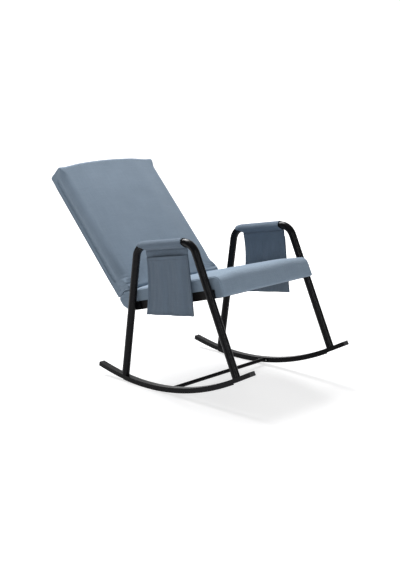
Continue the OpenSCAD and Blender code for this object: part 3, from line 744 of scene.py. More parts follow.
# %% Sew a cover
def sewn_cover(name, sides, edge_radius, side_draw):
    """A closed cover. edge_radius gives the rounding of the edge at each point of the outline."""
    columns = outlines_across(sides, edge_radius)
    points, faces, uvs = strip_round(columns)
    ends = np.cumsum([0] + [len(side) for side in sides(1)])
    fill, belly = side_panel([columns[0][1][a:b] for a, b in zip(ends, ends[1:])])
    for sign in (1, -1):
        base = len(points)
        x = sign * (HALF_W - side_draw * belly)
        points += list(zip(x.ravel(), -fill[..., 0].ravel(), fill[..., 1].ravel()))
        panel = [tuple(base + w for w in quad) for quad in quads(*belly.shape)]
        faces += panel
        uvs += [points[w][1:] for quad in panel for w in quad]
    obj = mesh_piece(name, points, faces, uvs)
    close_and_turn_out(obj)
    print(f"{name}: sewn from {len(faces)} faces")
    return obj

# %% [markdown]
# The foam presses the cover out from inside. Blender's cloth solver does this with pressure. The
# seams and the parts stapled to the wood are held still, and the cloth between them is a little
# larger than its place, so it swells and puckers along the seams as a real cover does. No point
# may move further than a cap, and the result is then kept as a plain mesh.

# %% Inflate a cover
def inflate(obj, held, pressure, slack, cap, frames=20):
    start = points_of(obj)
    group = obj.vertex_groups.new(name="held")
    for weight in np.unique(np.round(held, 1)):
        members = np.flatnonzero(np.round(held, 1) == weight).tolist()
        group.add(members, float(weight), "REPLACE")
    cloth = obj.modifiers.new("cover", "CLOTH")
    cloth.settings.quality = 6
    cloth.settings.mass = 0.3
    cloth.settings.tension_stiffness = 25
    cloth.settings.compression_stiffness = 25
    cloth.settings.shear_stiffness = 10
    cloth.settings.bending_stiffness = 0.6
    cloth.settings.use_pressure = True
    cloth.settings.uniform_pressure_force = pressure
    cloth.settings.shrink_min = -slack
    cloth.settings.vertex_group_mass = "held"
    cloth.settings.effector_weights.gravity = 0
    cloth.collision_settings.use_collision = False
    cloth.point_cache.frame_start, cloth.point_cache.frame_end = 1, frames
    for number in range(1, frames + 1):
        scene.frame_set(number)
    solved = obj.evaluated_get(bpy.context.evaluated_depsgraph_get())
    moved = np.array([v.co[:] for v in solved.data.vertices])
    obj.modifiers.remove(cloth)
    obj.vertex_groups.clear()
    scene.frame_set(1)
    step = moved - start
    length = np.linalg.norm(step, axis=1)[:, None]
    step *= np.minimum(1, cap / np.maximum(length, 1e-9))
    print(f"{obj.name}: the cover moved {1000 * length.mean():.1f} mm, at most {1000 * length.max():.1f}")
    return start, start + step

# %% [markdown]
# Seams, gathers and folds are pressed into a finer mesh than the one that was inflated, so it is
# subdivided first. Each detail is a number for every point, how far to lift or sink it, made from a
# few curves: a ridge near a line, a smooth step, an uneven wave, and a short crease between two
# places. Modelling them by hand would take days, and a second cushion could not reuse them.

# %% Curves for seams, gathers and folds
def subdivide(obj, levels=1):
    smooth = obj.modifiers.new("smooth", "SUBSURF")
    smooth.levels = smooth.render_levels = levels
    apply_modifiers(obj)


def near(value, place, width):
    return np.exp(-(((value - place) / width) ** 2))


def ripple(run, wavelength, seed):
    """An uneven wave along a seam, from about -1 to 1."""
    a = np.sin(2 * math.pi * run / wavelength + seed)
    b = np.sin(2 * math.pi * run / (1.73 * wavelength) + 2.1 * seed)
    c = np.sin(2 * math.pi * run / (0.61 * wavelength) + 3.7 * seed)
    return (a + 0.7 * b + 0.4 * c) / 2.1


def fold_line(p, q, start, end, width):
    """A short crease between two points: 1 on its line, fading to its sides and ends."""
    start, end = np.array(start), np.array(end)
    along = end - start
    length = np.linalg.norm(along)
    along = along / length
    s = (p - start[0]) * along[0] + (q - start[1]) * along[1]
    off = (p - start[0]) * -along[1] + (q - start[1]) * along[0]
    return np.exp(-((off / width) ** 2)) * fade(s, -0.2 * length, 0.25 * length) * (
        1 - fade(s, 0.4 * length, 1.1 * length)
    )

# %% [markdown]
# The seat's cover is held along its side seams, under the deck and where the back lies on it.
# Between these the foam fills it out. Near the front roll the swelling is let out again, so that
# the edge keeps its even round.

# %% Seat cover
SEAT_EDGE_R = 7 * MM
CREASE_S = -97.6 * MM
seat = sewn_cover("seat_cover", seat_sides, lambda ring: np.full(len(ring), SEAT_EDGE_R), 1.5 * MM)
points = points_of(seat)
x, s, t = np.abs(points[:, 0]), -points[:, 1], points[:, 2]
held = np.maximum.reduce([
    (x > HALF_W - SEAT_EDGE_R - 1 * MM) & (x < HALF_W - 0.1 * MM),
    t < 4 * MM,
    s < CREASE_S + 4 * MM,
    (x >= HALF_W - 3 * MM) & (t < 40 * MM),
]).astype(float)
start, moved = inflate(seat, held, pressure=3.0, slack=0.005, cap=5 * MM)
inside = fade(HALF_W - x, 6 * MM, 60 * MM) * fade(SEAT_FRONT - s, 30 * MM, 110 * MM) + 0.15
inside *= fade(s, CREASE_S, CREASE_S + 80 * MM)
move_points(seat, start + (moved - start) * np.minimum(1, inside)[:, None])
subdivide(seat)

# %% [markdown]
# The sewing comes after the swelling. A groove runs along each seam and the cloth beside it is
# gathered into small waves, because a straight panel is sewn to a round edge. The groove is deeper
# and wider at the front corners, where three layers meet.

# %% Seams and gathers of the seat
def seat_seams(side, s, t):
    corner = fade(s, SEAT_FRONT - 50 * MM, SEAT_FRONT - 25 * MM)
    seam_w = 1.6 * MM * (1 + 0.5 * corner)
    seam = near(side, HALF_W - 0.3 * SEAT_EDGE_R, seam_w) * fade(t, 2 * MM, 10 * MM)
    lift = -1.6 * MM * seam * (1 + 1.2 * corner)
    gathered = np.exp(-np.abs(side - (HALF_W - SEAT_EDGE_R)) / (11 * MM)) * fade(t, 20 * MM, 60 * MM)
    lift += 0.45 * MM * gathered * ripple(s + 1.3 * t, 24 * MM, 1.3)
    on_side = fade(side, HALF_W - 4 * MM, HALF_W - 1 * MM) * fade(t, 34 * MM, 50 * MM)
    beside_back = 1 - fade(s, CREASE_S + 30 * MM, CREASE_S + 90 * MM)
    lift += 0.7 * MM * on_side * beside_back * ripple(s + 0.6 * t, 26 * MM, 0.9)
    tail = 1 - fade(s, SEAT_REAR + 25 * MM, SEAT_REAR + 60 * MM)
    tail *= fade(side, HALF_W - 60 * MM, HALF_W - 10 * MM)
    return lift + 1.3 * MM * tail * ripple(t + 0.3 * s, 19 * MM, 1.9)

# %% [markdown]
# Where the seat meets the back, the cloth is pushed together into a few short folds that fan out
# from the corners. Each fold has a reach in millimetres, a turn in degrees from straight across,
# and a depth in millimetres. The turn differs a little from left to right, as it does on a real
# chair.

# %% Folds of the seat
SEAT_FOLDS = ((62, 10, 2.0), (88, 32, 1.7), (54, 58, 1.3))
FOLD_W = 4.5 * MM


def seat_folds(x, s, t):
    on_side = fade(np.abs(x), HALF_W - 4 * MM, HALF_W - 1 * MM)
    top = fade(t, 60 * MM, 75 * MM) * (1 - on_side) * fade(s, CREASE_S - 2 * MM, CREASE_S + 8 * MM)
    corner = np.array([HALF_W - 3 * MM, CREASE_S + 6 * MM])
    lift = 0.6 * MM * top * ripple(x, 60 * MM, 1.1) * near(s, CREASE_S + 8 * MM, 14 * MM)
    lift += 0.5 * MM * top * ripple(x + 0.4 * s, 170 * MM, 0.7) * ripple(s, 130 * MM, 2.2)
    for sign in (-1, 1):
        for reach, turn, depth in SEAT_FOLDS:
            turn = math.radians(turn + 3 * sign)
            end = corner + reach * MM * np.array([-math.cos(turn), math.sin(turn)])
            lift -= depth * MM * fold_line(sign * x, s, corner, end, FOLD_W) * top
    return lift


points, normals = points_of(seat), normals_of(seat)
x, s, t = points[:, 0], -points[:, 1], points[:, 2]
lift = seat_seams(np.abs(x), s, t) + seat_folds(x, s, t)
move_points(seat, points + lift[:, None] * normals)
print(f"seams and folds of the seat: {1000 * lift.min():.1f} to {1000 * lift.max():.1f} mm")

# %% [markdown]
# The foam is hollow where the rails, the deck and the brackets run, as the CAD solid is. Blocks
# cut this room out of the cover, with the Boolean modifier.

# %% Blocks that make room
def block(name, low, high, place=None):
    bpy.ops.object.select_all(action="DESELECT")
    centre = [(a + b) / 2 for a, b in zip(low, high)]
    bpy.ops.mesh.primitive_cube_add(size=1, location=centre)
    cutter = bpy.context.active_object
    cutter.name = name
    cutter.scale = [b - a for a, b in zip(low, high)]
    settle(cutter, smooth_angle=1)
    if place is not None:
        cutter.data.transform(place)
    return cutter


def cut(obj, cutters):
    for cutter in cutters:
        hollow = obj.modifiers.new("hollow", "BOOLEAN")
        hollow.operation = "DIFFERENCE"
        hollow.solver = "MANIFOLD"
        hollow.object = cutter
        apply_modifiers(obj)
        bpy.data.objects.remove(cutter)

# %% [markdown]
# Under the seat there is room for the lugs between legs and rails, for the rails themselves, for
# the batten in front and for the deck, each a small clearance larger than its part. Two more blocks
# on each side make room for the plates that carry the back. They don't hold the whole plate: at the
# seat's tail some ten millimetres of it still lie in the foam, out of sight.

# %% Clear the inside of the seat
CLEAR = 0.3 * MM
RAIL_H = 32 * MM
RAIL_OUTER, RAIL_INNER = 257 * MM, 237 * MM
UPRIGHT_INNER = 212 * MM
DECK_HALF = 249.7 * MM
LUG_END = 9 * MM
RAIL_START, RAIL_END = -95.083 * MM, 367.424 * MM
DECK_REAR, DECK_FRONT = -91.083 * MM, 386.724 * MM
DECK_TOP = 44 * MM
BELOW = -5 * MM


def seat_block(half, start, end, low, high):
    return block("seat_room", (-half, -end, low), (half, -start, high))


to_seat = seat_frame.inverted() @ back_frame
lug_start, lug_end = BOLT_S[0] - LUG_END - CLEAR, BOLT_S[1] + LUG_END + CLEAR
rooms = [
    seat_block(HALF_W + 9 * MM, lug_start, lug_end, BELOW, RAIL_H + CLEAR),
    seat_block(RAIL_OUTER + CLEAR, RAIL_START - CLEAR, RAIL_END + CLEAR, BELOW, RAIL_H + 0.2 * MM),
    seat_block(DECK_HALF + CLEAR, RAIL_END - MM, DECK_FRONT + CLEAR, BELOW, RAIL_H + 0.1 * MM),
    seat_block(DECK_HALF + CLEAR, DECK_REAR - CLEAR, DECK_FRONT + CLEAR, RAIL_H - MM, DECK_TOP + CLEAR),
]
for sign in (-1, 1):
    low_x, high_x = sorted((sign * (UPRIGHT_INNER - 6 * MM), sign * (RAIL_INNER + 6 * MM)))
    rooms.append(block("bracket_room", (low_x, -38.4 * MM, -32 * MM), (high_x, -17.6 * MM, 70 * MM), to_seat))
    rooms.append(block("bracket_room", (low_x, 45 * MM, 4 * MM), (high_x, 118 * MM, 40 * MM)))
cut(seat, rooms)
settle(seat, seat_frame, 50)
dress(seat, upholstery)
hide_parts("seat_cushion")

# %% [markdown]
# ## The back
# The back's cover has a strip round its rear edge and a full front panel that is sewn to the strip
# thirty millimetres in front of the rear face. The front panel is pinched at that seam and swells
# out over a round shoulder to the front.

# %% Back cover
def back_edge_radius(ring):
    """Small at the strip and wide at the front shoulder."""
    n, a = ring[:, 0], ring[:, 1]
    shoulder = fade(n, STRIP_SEAM + 6 * MM, BACK_EDGE - 4 * MM) * fade(a, 12 * MM, 60 * MM)
    return 4 * MM + 26 * MM * shoulder * (1 - fade(a, BACK_LEN - 55 * MM, BACK_LEN - 15 * MM))


back = sewn_cover("back_cover_front", back_sides, back_edge_radius, 0.5 * MM)
points = points_of(back)
x, n, a = np.abs(points[:, 0]), -points[:, 1], points[:, 2]
held = np.maximum.reduce([
    x > HALF_W - 20 * MM,
    n < BACK_EDGE - 10 * MM,
    a < 10 * MM,
]).astype(float)
start, moved = inflate(back, held, pressure=3.0, slack=0.005, cap=3 * MM)
inside = fade(HALF_W - x, 15 * MM, 140 * MM)
inside *= fade(BACK_LEN - a, 15 * MM, 170 * MM) * fade(a, 5 * MM, 110 * MM)
move_points(back, start + (moved - start) * inside[:, None])
subdivide(back)

# %% [markdown]
# The seam between front panel and strip lies in a valley, steep towards the strip and easier
# towards the front. It grows shallow at the top edge, where the cloth is drawn tight over the
# corner. Beside it the front panel is gathered, and a finer seam runs down the rear edge.

# %% Seams and gathers of the back
VALLEY_DEPTH, STRIP_SLOPE, FRONT_SLOPE = 4.6 * MM, 12 * MM, 17 * MM


def back_seams(x, n, a):
    side = np.abs(x)
    border = np.maximum(
        fade(side, HALF_W - 16 * MM, HALF_W - 5 * MM), fade(a, BACK_LEN - 14 * MM, BACK_LEN - 4 * MM)
    )
    border *= fade(a, 4 * MM, 16 * MM)
    off_seam = n - STRIP_SEAM
    slope = np.where(off_seam < 0, STRIP_SLOPE, FRONT_SLOPE)
    valley = np.exp(-np.sqrt(off_seam**2 + (1.5 * MM) ** 2) / slope)
    at_top = fade(a, BACK_LEN - 75 * MM, BACK_LEN - 20 * MM)
    lift = -VALLEY_DEPTH * valley * border * (1 - 0.85 * at_top)
    lift -= 0.8 * MM * near(side, HALF_W - 1.2 * MM, 1.2 * MM) * (1 - fade(n, 8 * MM, 14 * MM))
    gathered = near(n, STRIP_SEAM, 16 * MM) * fade(n, STRIP_SEAM, STRIP_SEAM + 5 * MM)
    run = np.where(side > HALF_W - 8 * MM, a, BACK_LEN + x)
    return lift + 0.45 * MM * gathered * border * ripple(run, 25 * MM, 2.6)

# %% [markdown]
# At the foot the back's cloth is pushed up by the seat. It gives three flat folds on each side, and
# small wrinkles on the shoulder above the corner. The front panel stands a few millimetres past the
# strip on both sides, as a cushion does that is fuller than its frame.

# %% Folds of the back
BACK_FOLDS = ((7, 12, 1.5), (12, 40, 1.3), (18, 76, 1.0))
SHOULDER_SWELL = 4 * MM


def back_folds(x, n, a):
    front = fade(n, 60 * MM, 71 * MM)
    shoulder = fade(np.abs(x), HALF_W - 45 * MM, HALF_W - 15 * MM)
    shoulder *= fade(n, STRIP_SEAM, STRIP_SEAM + 8 * MM) * (1 - fade(a, 30 * MM, 100 * MM))
    lift = 1.0 * MM * shoulder * ripple(a + 0.35 * n, 15 * MM, 0.3)
    lift += 0.6 * MM * front * ripple(x, 66 * MM, 0.2) * near(a, 12 * MM, 16 * MM)
    lift += 0.45 * MM * front * ripple(x + 0.3 * a, 190 * MM, 1.9) * ripple(a, 150 * MM, 0.4)
    for sign in (-1, 1):
        for rise, climb, depth in BACK_FOLDS:
            start = (HALF_W - 6 * MM, rise * MM)
            end = (HALF_W - 82 * MM, (rise + climb * 0.4) * MM)
            lift -= depth * MM * fold_line(sign * x, a, start, end, FOLD_W) * front
    return lift


points, normals = points_of(back), normals_of(back)
x, n, a = points[:, 0], -points[:, 1], points[:, 2]
lift = back_seams(x, n, a) + back_folds(x, n, a)
swell = fade(n, STRIP_SEAM, STRIP_SEAM + 22 * MM)
swell *= fade(a, 30 * MM, 120 * MM) * fade(BACK_LEN - a, 5 * MM, 60 * MM)
points = points + lift[:, None] * normals
points[:, 0] *= 1 + SHOULDER_SWELL / HALF_W * swell
move_points(back, points)
print(f"seams and folds of the back: {1000 * lift.min():.1f} to {1000 * lift.max():.1f} mm")

# %% [markdown]
# The back's foam has a wide shallow room behind it for the plywood panel and the frame, and two
# slots at the foot through which the uprights leave.

# %% Clear the inside of the back
UPRIGHT_SET, UPRIGHT_D, PANEL_FACE = 18 * MM, 20 * MM, 42 * MM
SLOT = 10.3 * MM
UPRIGHT_MID = UPRIGHT_SET + UPRIGHT_D / 2

panel_low = (-HALF_W + WRAP, -PANEL_FACE - CLEAR, WRAP)
panel_high = (HALF_W - WRAP, 5 * MM, BACK_LEN - WRAP)
rooms = [block("panel_room", panel_low, panel_high)]
for sign in (-1, 1):
    low_x, high_x = sorted((sign * (UPRIGHT_INNER - 6 * MM), sign * (RAIL_INNER + 6 * MM)))
    low = (low_x, -UPRIGHT_MID - SLOT, -30 * MM)
    rooms.append(block("upright_room", low, (high_x, -UPRIGHT_MID + SLOT, WRAP + MM)))
cut(back, rooms)
settle(back, back_frame, 50)
dress(back, upholstery)
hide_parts("back_cushion")

# %% [markdown]
# The rear panel of the back is one flat piece of the same cloth. Its edge is folded under, which
# shows as a thicker rim, and pulled tight, so it dips a little between its fastenings. Staples pull
# the edge in at even steps. The thin cloth under the seat is made the same way.

# %% Stretched panels
def stretched_panel(name, half, length, dip, rim, thickness, staples):
    """A flat panel in the xy plane, y from 0 to length, seen from +z."""
    columns, rows = 61, 67
    gx, gy = np.meshgrid(np.linspace(-half, half, columns), np.linspace(0, length, rows))
    edge = np.minimum.reduce([half - np.abs(gx), gy, length - gy])
    height = rim * np.exp(-((edge / (9 * MM)) ** 4)) - dip * fade(edge, 5 * MM, 120 * MM)
    pull = (np.sin(2 * math.pi * gx / (31 * MM)) + np.sin(2 * math.pi * gy / (31 * MM))) / 2
    height += staples * near(edge, 14 * MM, 10 * MM) * pull
    points = np.stack([gx, gy, height], axis=-1).reshape(-1, 3)
    faces = quads(rows, columns)
    obj = mesh_piece(name, points, faces, [points[w][:2] for quad in faces for w in quad])
    wall = obj.modifiers.new("cloth", "SOLIDIFY")
    wall.thickness, wall.offset = thickness, -1
    apply_modifiers(obj)
    return obj

# %% [markdown]
# Each panel is drawn flat and then laid in its place by one matrix, the first behind the back and
# the second under the deck. A cloth has to be told apart from a solid, so its flat size is given as
# it would be cut.

# %% Rear panel of the back, and the dust cover under the seat
COVER_T = 1.5 * MM
PANEL_EDGE = 10.3 * MM
rear_panel = stretched_panel(
    "back_rear_panel", HALF_W - PANEL_EDGE, BACK_LEN - 2 * PANEL_EDGE,
    dip=0.5 * MM, rim=0.5 * MM, thickness=1.1 * MM, staples=0.25 * MM,
)
lay_behind = Matrix(((1, 0, 0, 0), (0, 0, 1, CLEAR + 0.9 * MM), (0, 1, 0, PANEL_EDGE), (0, 0, 0, 1)))
settle(rear_panel, back_frame @ lay_behind, 60)
close_and_turn_out(rear_panel)
dress(rear_panel, upholstery)
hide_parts("back_cover")

DUST_HALF = 255 * MM
dust_panel = stretched_panel(
    "seat_dust_cover", DUST_HALF, DECK_FRONT - DECK_REAR,
    dip=-0.9 * MM, rim=-0.4 * MM, thickness=0.6 * MM, staples=0.3 * MM,
)
lay_under = Matrix(((1, 0, 0, 0), (0, 1, 0, -DECK_FRONT), (0, 0, 1, -COVER_T + 0.9 * MM), (0, 0, 0, 1)))
settle(dust_panel, seat_frame @ lay_under, 60)
close_and_turn_out(dust_panel)
dress(dust_panel, dust_cloth)
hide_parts("dust_cover")

# %% [markdown]
# ## The arm cloths
# One length of cloth goes up the inside, over the arm and down the outside, and is sewn to itself
# just under the tube. Below that the two layers hang together as one panel. So its shape is a
# drop: round over the tube and drawn together underneath. The line across the cloth is worked out
# once, in the plane square to the arm, and repeated along the arm.

# %% The arm's own line
ARM_START = np.array([5.195, 559.264]) * MM
ARM_RUN = 206.664 * MM
ARM_RISE = math.radians(10)
ARM_DIR = np.array([math.cos(ARM_RISE), math.sin(ARM_RISE)])
ARM_UP = np.array([-math.sin(ARM_RISE), math.cos(ARM_RISE)])
BEND_R = 58 * MM
ARM_END = ARM_START + ARM_RUN * ARM_DIR
SLEEVE_R = 17.4 * MM
SLEEVE_WRAP = 24 * MM


def turned(v, angle):
    c, s = math.cos(angle), math.sin(angle)
    return np.array([c * v[0] - s * v[1], s * v[0] + c * v[1]])


def arm_point(c):
    """A place on the arm's middle line and its up direction; past either end it follows the bend."""
    if c < 0:
        up = turned(ARM_UP, -c / BEND_R)
        return ARM_START - BEND_R * ARM_UP + BEND_R * up, up
    if c > ARM_RUN:
        up = turned(ARM_UP, -(c - ARM_RUN) / BEND_R)
        return ARM_END - BEND_R * ARM_UP + BEND_R * up, up
    return ARM_START + c * ARM_DIR, ARM_UP


print(f"the arm runs {ARM_RUN / MM:.0f} mm and rises {math.degrees(ARM_RISE):.0f} degrees")

# %% [markdown]
# Below the arm the cloth hangs as a panel, a little narrower in the middle of its rear edge and
# wider towards the front at its foot. A place on it is named by two shares: u along the arm from
# rear to front, and v down the drop. Everything that is sewn to the panel uses the same two.

# %% The hanging panel's outline
HANG_R = 18.1 * MM
PANEL_START = 3 * MM
PANEL_W = 218.9 * MM
PANEL_DROP = 250 * MM
FOOT_DROP = 4 * MM
PANEL_FLARE = 35 * MM
PANEL_WAIST = 12 * MM


def hang(u, v):
    top = ARM_START - HANG_R * ARM_UP + (PANEL_START + u * PANEL_W) * ARM_DIR
    rear, front = PANEL_WAIST * 4 * v * (1 - v), PANEL_FLARE * v
    return np.array([top[0] + rear + (front - rear) * u, top[1] - v * (PANEL_DROP + FOOT_DROP * u)])


print(f"the panel is {PANEL_W / MM:.0f} mm wide and hangs down {PANEL_DROP / MM:.0f} mm")

# %% [markdown]
# Cloth that hangs from a straight edge falls into soft upright folds that grow towards the foot.
# Over them lie smaller creases, and just below the seam under the arm each layer puffs out in
# puckers. A cloth solver would find such folds too, but never those of the photograph, so they are
# drawn.

# %% Folds, creases and puckers
FOLD_DEPTH = 4 * MM
FOLD_COUNT = 2.5


def fold(u, v):
    """How far the panel hangs inwards; it only leans towards the seat, where there is room."""
    return -FOLD_DEPTH * v * (1 - math.cos(2 * math.pi * FOLD_COUNT * u + 0.5 * math.pi * v)) / 2


def wrinkle(u, v, seed):
    """Soft creases that run down the cloth and lean a little."""
    wide = math.sin(2 * math.pi * (2.3 * u + 0.3 * v) + seed)
    middle = math.sin(2 * math.pi * (4.9 * u - 0.45 * v) + 1.7 * seed)
    narrow = math.sin(2 * math.pi * (9.3 * u + 0.8 * v * v) + 2.3 * seed)
    return 1.2 * MM * fade(v, 0.02, 0.3) * (wide + 0.75 * middle + 0.35 * narrow)


def gather(u, v, seed):
    """How far each layer stands out in the puckers below the seam under the arm."""
    drop = v * PANEL_DROP
    fading = fade(drop, 0.5 * MM, 7 * MM) * (1 - fade(drop, 10 * MM, 25 * MM))
    return fading * (1.3 * MM + 0.8 * MM * ripple(u * PANEL_W, 15 * MM, seed))

# %% [markdown]
# The line across an arm cloth starts on top of the tube, runs round it and leaves it where the two
# layers come together at the seam. From there it only goes down. The rows are close together round
# the tube and just below the seam, where the cloth bends most.

# %% The line across an arm cloth
LEAVE_ANGLE = math.radians(24)
SEAM_DROP = SLEEVE_R / math.cos(LEAVE_ANGLE)
SEAM_GAP = 0.7 * MM
FIRST_DROPS = (0.004, 0.012, 0.022, 0.034, 0.048, 0.064, 0.08, 0.1)


def half_line():
    """From the top of the arm down, as (out, below the arm's middle, share of the panel's drop)."""
    half = []
    for angle in np.linspace(0, math.pi - LEAVE_ANGLE, 18):
        half.append((SLEEVE_R * math.sin(angle), -SLEEVE_R * math.cos(angle), None))
    for share in (0.3, 0.6, 0.85, 1.0):
        out = SLEEVE_R * math.sin(LEAVE_ANGLE) * (1 - share) + SEAM_GAP * share
        half.append((out, SLEEVE_R * math.cos(LEAVE_ANGLE) * (1 - share) + SEAM_DROP * share, None))
    start = (SEAM_DROP - HANG_R) / PANEL_DROP
    for share in (*FIRST_DROPS, *np.linspace(0.13, 1, 24)):
        half.append((SEAM_GAP, None, start + (1 - start) * share))
    return half


print(f"{len(half_line())} rows from the top of the arm to the foot of the cloth")

# %% [markdown]
# The sleeve covers the tube a little way into its rear bend, and its two ends have a hem that shows
# as a slightly thicker ring. Towards the seam the sleeve grows narrower, from its own length to
# that of the hanging panel.

# %% A place on the sleeve or the panel
SLEEVE_HEM = 7 * MM


def sleeve_point(u, out, below, seed):
    sink = min(1, max(0, (below + SLEEVE_R) / (SEAM_DROP + SLEEVE_R)))
    low = -SLEEVE_WRAP * (1 - fade(sink, 0.35, 0.9)) + PANEL_START * fade(sink, 0.35, 0.9)
    high = ARM_RUN + (PANEL_START + PANEL_W - ARM_RUN) * fade(sink, 0.55, 0.95)
    at, up = arm_point(low + u * (high - low))
    hem = 1 - fade(min(u, 1 - u) * (high - low), SLEEVE_HEM, SLEEVE_HEM + 2 * MM)
    ease = 0.35 * MM * math.sin(11 * u + 5 * sink + seed) * math.sin(math.pi * sink)
    ease += 0.5 * MM * hem * (1 - fade(sink, 0.8, 0.95))
    grow = 1 + ease / SLEEVE_R
    p = at - below * grow * up
    crease = wrinkle(u, 0, seed) if sink > 0.9 else 0
    return (p[0], p[1], out * grow + crease)


def panel_point(u, v, sign, seed):
    p = hang(u, v)
    layer = sign * (SEAM_GAP + gather(u, v, seed + sign))
    return (p[0], p[1], layer + fold(u, v) + wrinkle(u, v, seed))

# %% [markdown]
# The whole cloth is one grid of points, from the foot of the inner layer up over the arm and down
# to the foot of the outer one. Its map has the real lengths of the cloth, measured down its middle,
# so the weave keeps its size and the cut length can be read off.

# %% Arm cloth
ARM_COLUMNS = 57


def hung_mesh(name, points, columns):
    """A mesh from rows of points, and the length of the cloth down its middle."""
    runs = distances(np.array(points[columns // 2::columns]))
    faces = quads(len(runs), columns)
    uvs = [(PANEL_W * (w % columns) / (columns - 1), runs[w // columns]) for quad in faces for w in quad]
    return mesh_piece(name, points, faces, uvs), runs[-1]


def arm_cloth(name, seed):
    """The right-hand cloth as (forward, up, out) points in rows along the arm."""
    half = half_line()
    points = []
    for sign, line in ((-1, half[::-1]), (1, half[1:])):
        for out, below, v in line:
            for u in (i / (ARM_COLUMNS - 1) for i in range(ARM_COLUMNS)):
                if v is None:
                    points.append(sleeve_point(u, sign * out, below, seed))
                else:
                    points.append(panel_point(u, v, sign, seed))
    return hung_mesh(name, points, ARM_COLUMNS)

# %% [markdown]
# Both sides use the same cloth, mirrored about the chair's middle, each with its own creases. The
# sheet gets its thickness from the Solidify modifier and a smoother surface from Subdivision
# Surface, and lies on the arm of its side.

# %% Hang the arm cloths
ARM_SIDES = [("left", True, 0.8), ("right", False, 2.9)]


def in_chair(p, out, left):
    """Takes a place of the right-hand side into the chair's frame, on the side that is asked for."""
    sign = 1 if left else -1
    return (sign * (FRAME_GAP / 2 + out), MID_Y - p[0], p[1])


def hang_cloth(cloth, thickness, left):
    move_points(cloth, [in_chair(p[:2], p[2], left) for p in points_of(cloth)])
    wall = cloth.modifiers.new("cloth", "SOLIDIFY")
    wall.thickness, wall.offset = thickness, 0
    wall.use_even_offset = True
    apply_modifiers(cloth)
    subdivide(cloth)
    close_and_turn_out(cloth)
    settle(cloth, smooth_angle=60)
    # Painted shade: the arm cloth gets the darkened copy of the upholstery cloth.
    dress(cloth, pocket_cloth)


for side_name, left, seed in ARM_SIDES:
    cloth, length = arm_cloth(f"arm_cloth_{side_name}", seed)
    hang_cloth(cloth, 1.0 * MM, left)
    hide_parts(f"arm_sleeve_{side_name}", f"pocket_panel_{side_name}")
    print(f"{cloth.name}: cut 0.225 by {length:.3f} m")

# %% [markdown]
# ## The pockets
# A pocket is a second piece of cloth sewn to the outside of the panel along its sides and foot.
# Its top edge is turned in and stitched, and stands a little away from the panel.

# %% A pocket's shape
MOUTH_SHARE = 28 * MM / PANEL_DROP
SEAM_SHARE = 12 * MM / PANEL_W
POCKET_BULGE = 9 * MM
POCKET_LIFT = 2.6 * MM


def bulge(u, v):
    """The pocket stands open at its mouth and lies flat at its sides and foot."""
    across = min(1, abs(2 * u - 1) / (1 - 2 * SEAM_SHARE))
    down = max(0, 1 - (v - MOUTH_SHARE) / (1 - MOUTH_SHARE))
    return POCKET_BULGE * (1 - across**3) * down**1.3


def pocket_out(u, v, seed):
    return POCKET_LIFT + bulge(u, v) + fold(u, v) + wrinkle(u, v, seed)


def hem_lift(u, v):
    """How much the doubled cloth of the hems and side seams adds to the outer face."""
    below = (v - MOUTH_SHARE) * PANEL_DROP
    from_side = min(u, 1 - u) * PANEL_W
    top = 1 - fade(below, 13 * MM, 15.5 * MM)
    side = 1 - fade(from_side, 8 * MM, 10.5 * MM)
    foot = 1 - fade((1 - v) * PANEL_DROP, 8 * MM, 10.5 * MM)
    return 1.1 * MM * max(top, side, foot)


print(f"the mouth lies {MOUTH_SHARE * PANEL_DROP / MM:.0f} mm below the arm")

# %% [markdown]
# The pocket's grid starts inside the mouth, at the lower edge of the turned hem, goes up, round the
# mouth's edge in three close rows, and down the outside to the foot.

# %% Pocket fronts
POCKET_COLUMNS = 85
HEM = 20 * MM
INNER_FACE, OUTER_FACE = -0.65 * MM, 0.75 * MM


def pocket_rows():
    """Each row's share of the drop, and how far it lies from the middle of the cloth."""
    rows = [(MOUTH_SHARE + HEM / PANEL_DROP * k, INNER_FACE) for k in (1, 0.75, 0.5, 0.25, 0.06)]
    for rise, away in ((0.0022, -0.3 * MM), (0.003, 0.1 * MM), (0.0022, 0.5 * MM)):
        rows.append((MOUTH_SHARE - rise, away))
    for v in (MOUTH_SHARE + 0.006, *np.linspace(MOUTH_SHARE + 0.02, 1.0, 64)):
        rows.append((v, OUTER_FACE))
    return rows


def pocket_front(name, seed):
    points = []
    for v, away in pocket_rows():
        for u in (i / (POCKET_COLUMNS - 1) for i in range(POCKET_COLUMNS)):
            p = hang(u, v)
            thicker = hem_lift(u, v) if away > 0.2 * MM else 0
            points.append((p[0], p[1], pocket_out(u, v, seed) + away + thicker))
    return hung_mesh(name, points, POCKET_COLUMNS)


for side_name, left, seed in ARM_SIDES:
    cloth, length = pocket_front(f"pocket_cloth_{side_name}", seed)
    hang_cloth(cloth, 0.9 * MM, left)
    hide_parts(f"pocket_front_{side_name}")
    print(f"{cloth.name}: cut 0.225 by {length:.3f} m")

# %% [markdown]
# ## Stitching
# A sewn seam is told by its stitches. One stitch is a short rod with softened ends, made once from
# a cylinder. Copies of it are laid end to end along each seam, a little apart, half sunk into the
# cloth, and joined to one piece for each arm.

# %% One stitch
STITCH_STEP = 4 * MM

bpy.ops.object.select_all(action="DESELECT")
bpy.ops.mesh.primitive_cylinder_add(vertices=6, radius=0.4 * MM, depth=2.9 * MM)
stitch = bpy.context.active_object
bpy.ops.object.mode_set(mode="EDIT")
bpy.ops.mesh.select_all(action="DESELECT")
rod = bmesh.from_edit_mesh(stitch.data)
for edge in rod.edges:
    edge.select = abs(edge.verts[0].co.z - edge.verts[1].co.z) < 0.1 * MM
bmesh.update_edit_mesh(stitch.data)
bpy.ops.mesh.bevel(offset=0.2 * MM, segments=1)
bpy.ops.object.mode_set(mode="OBJECT")
print(f"one stitch has {len(stitch.data.polygons)} faces")

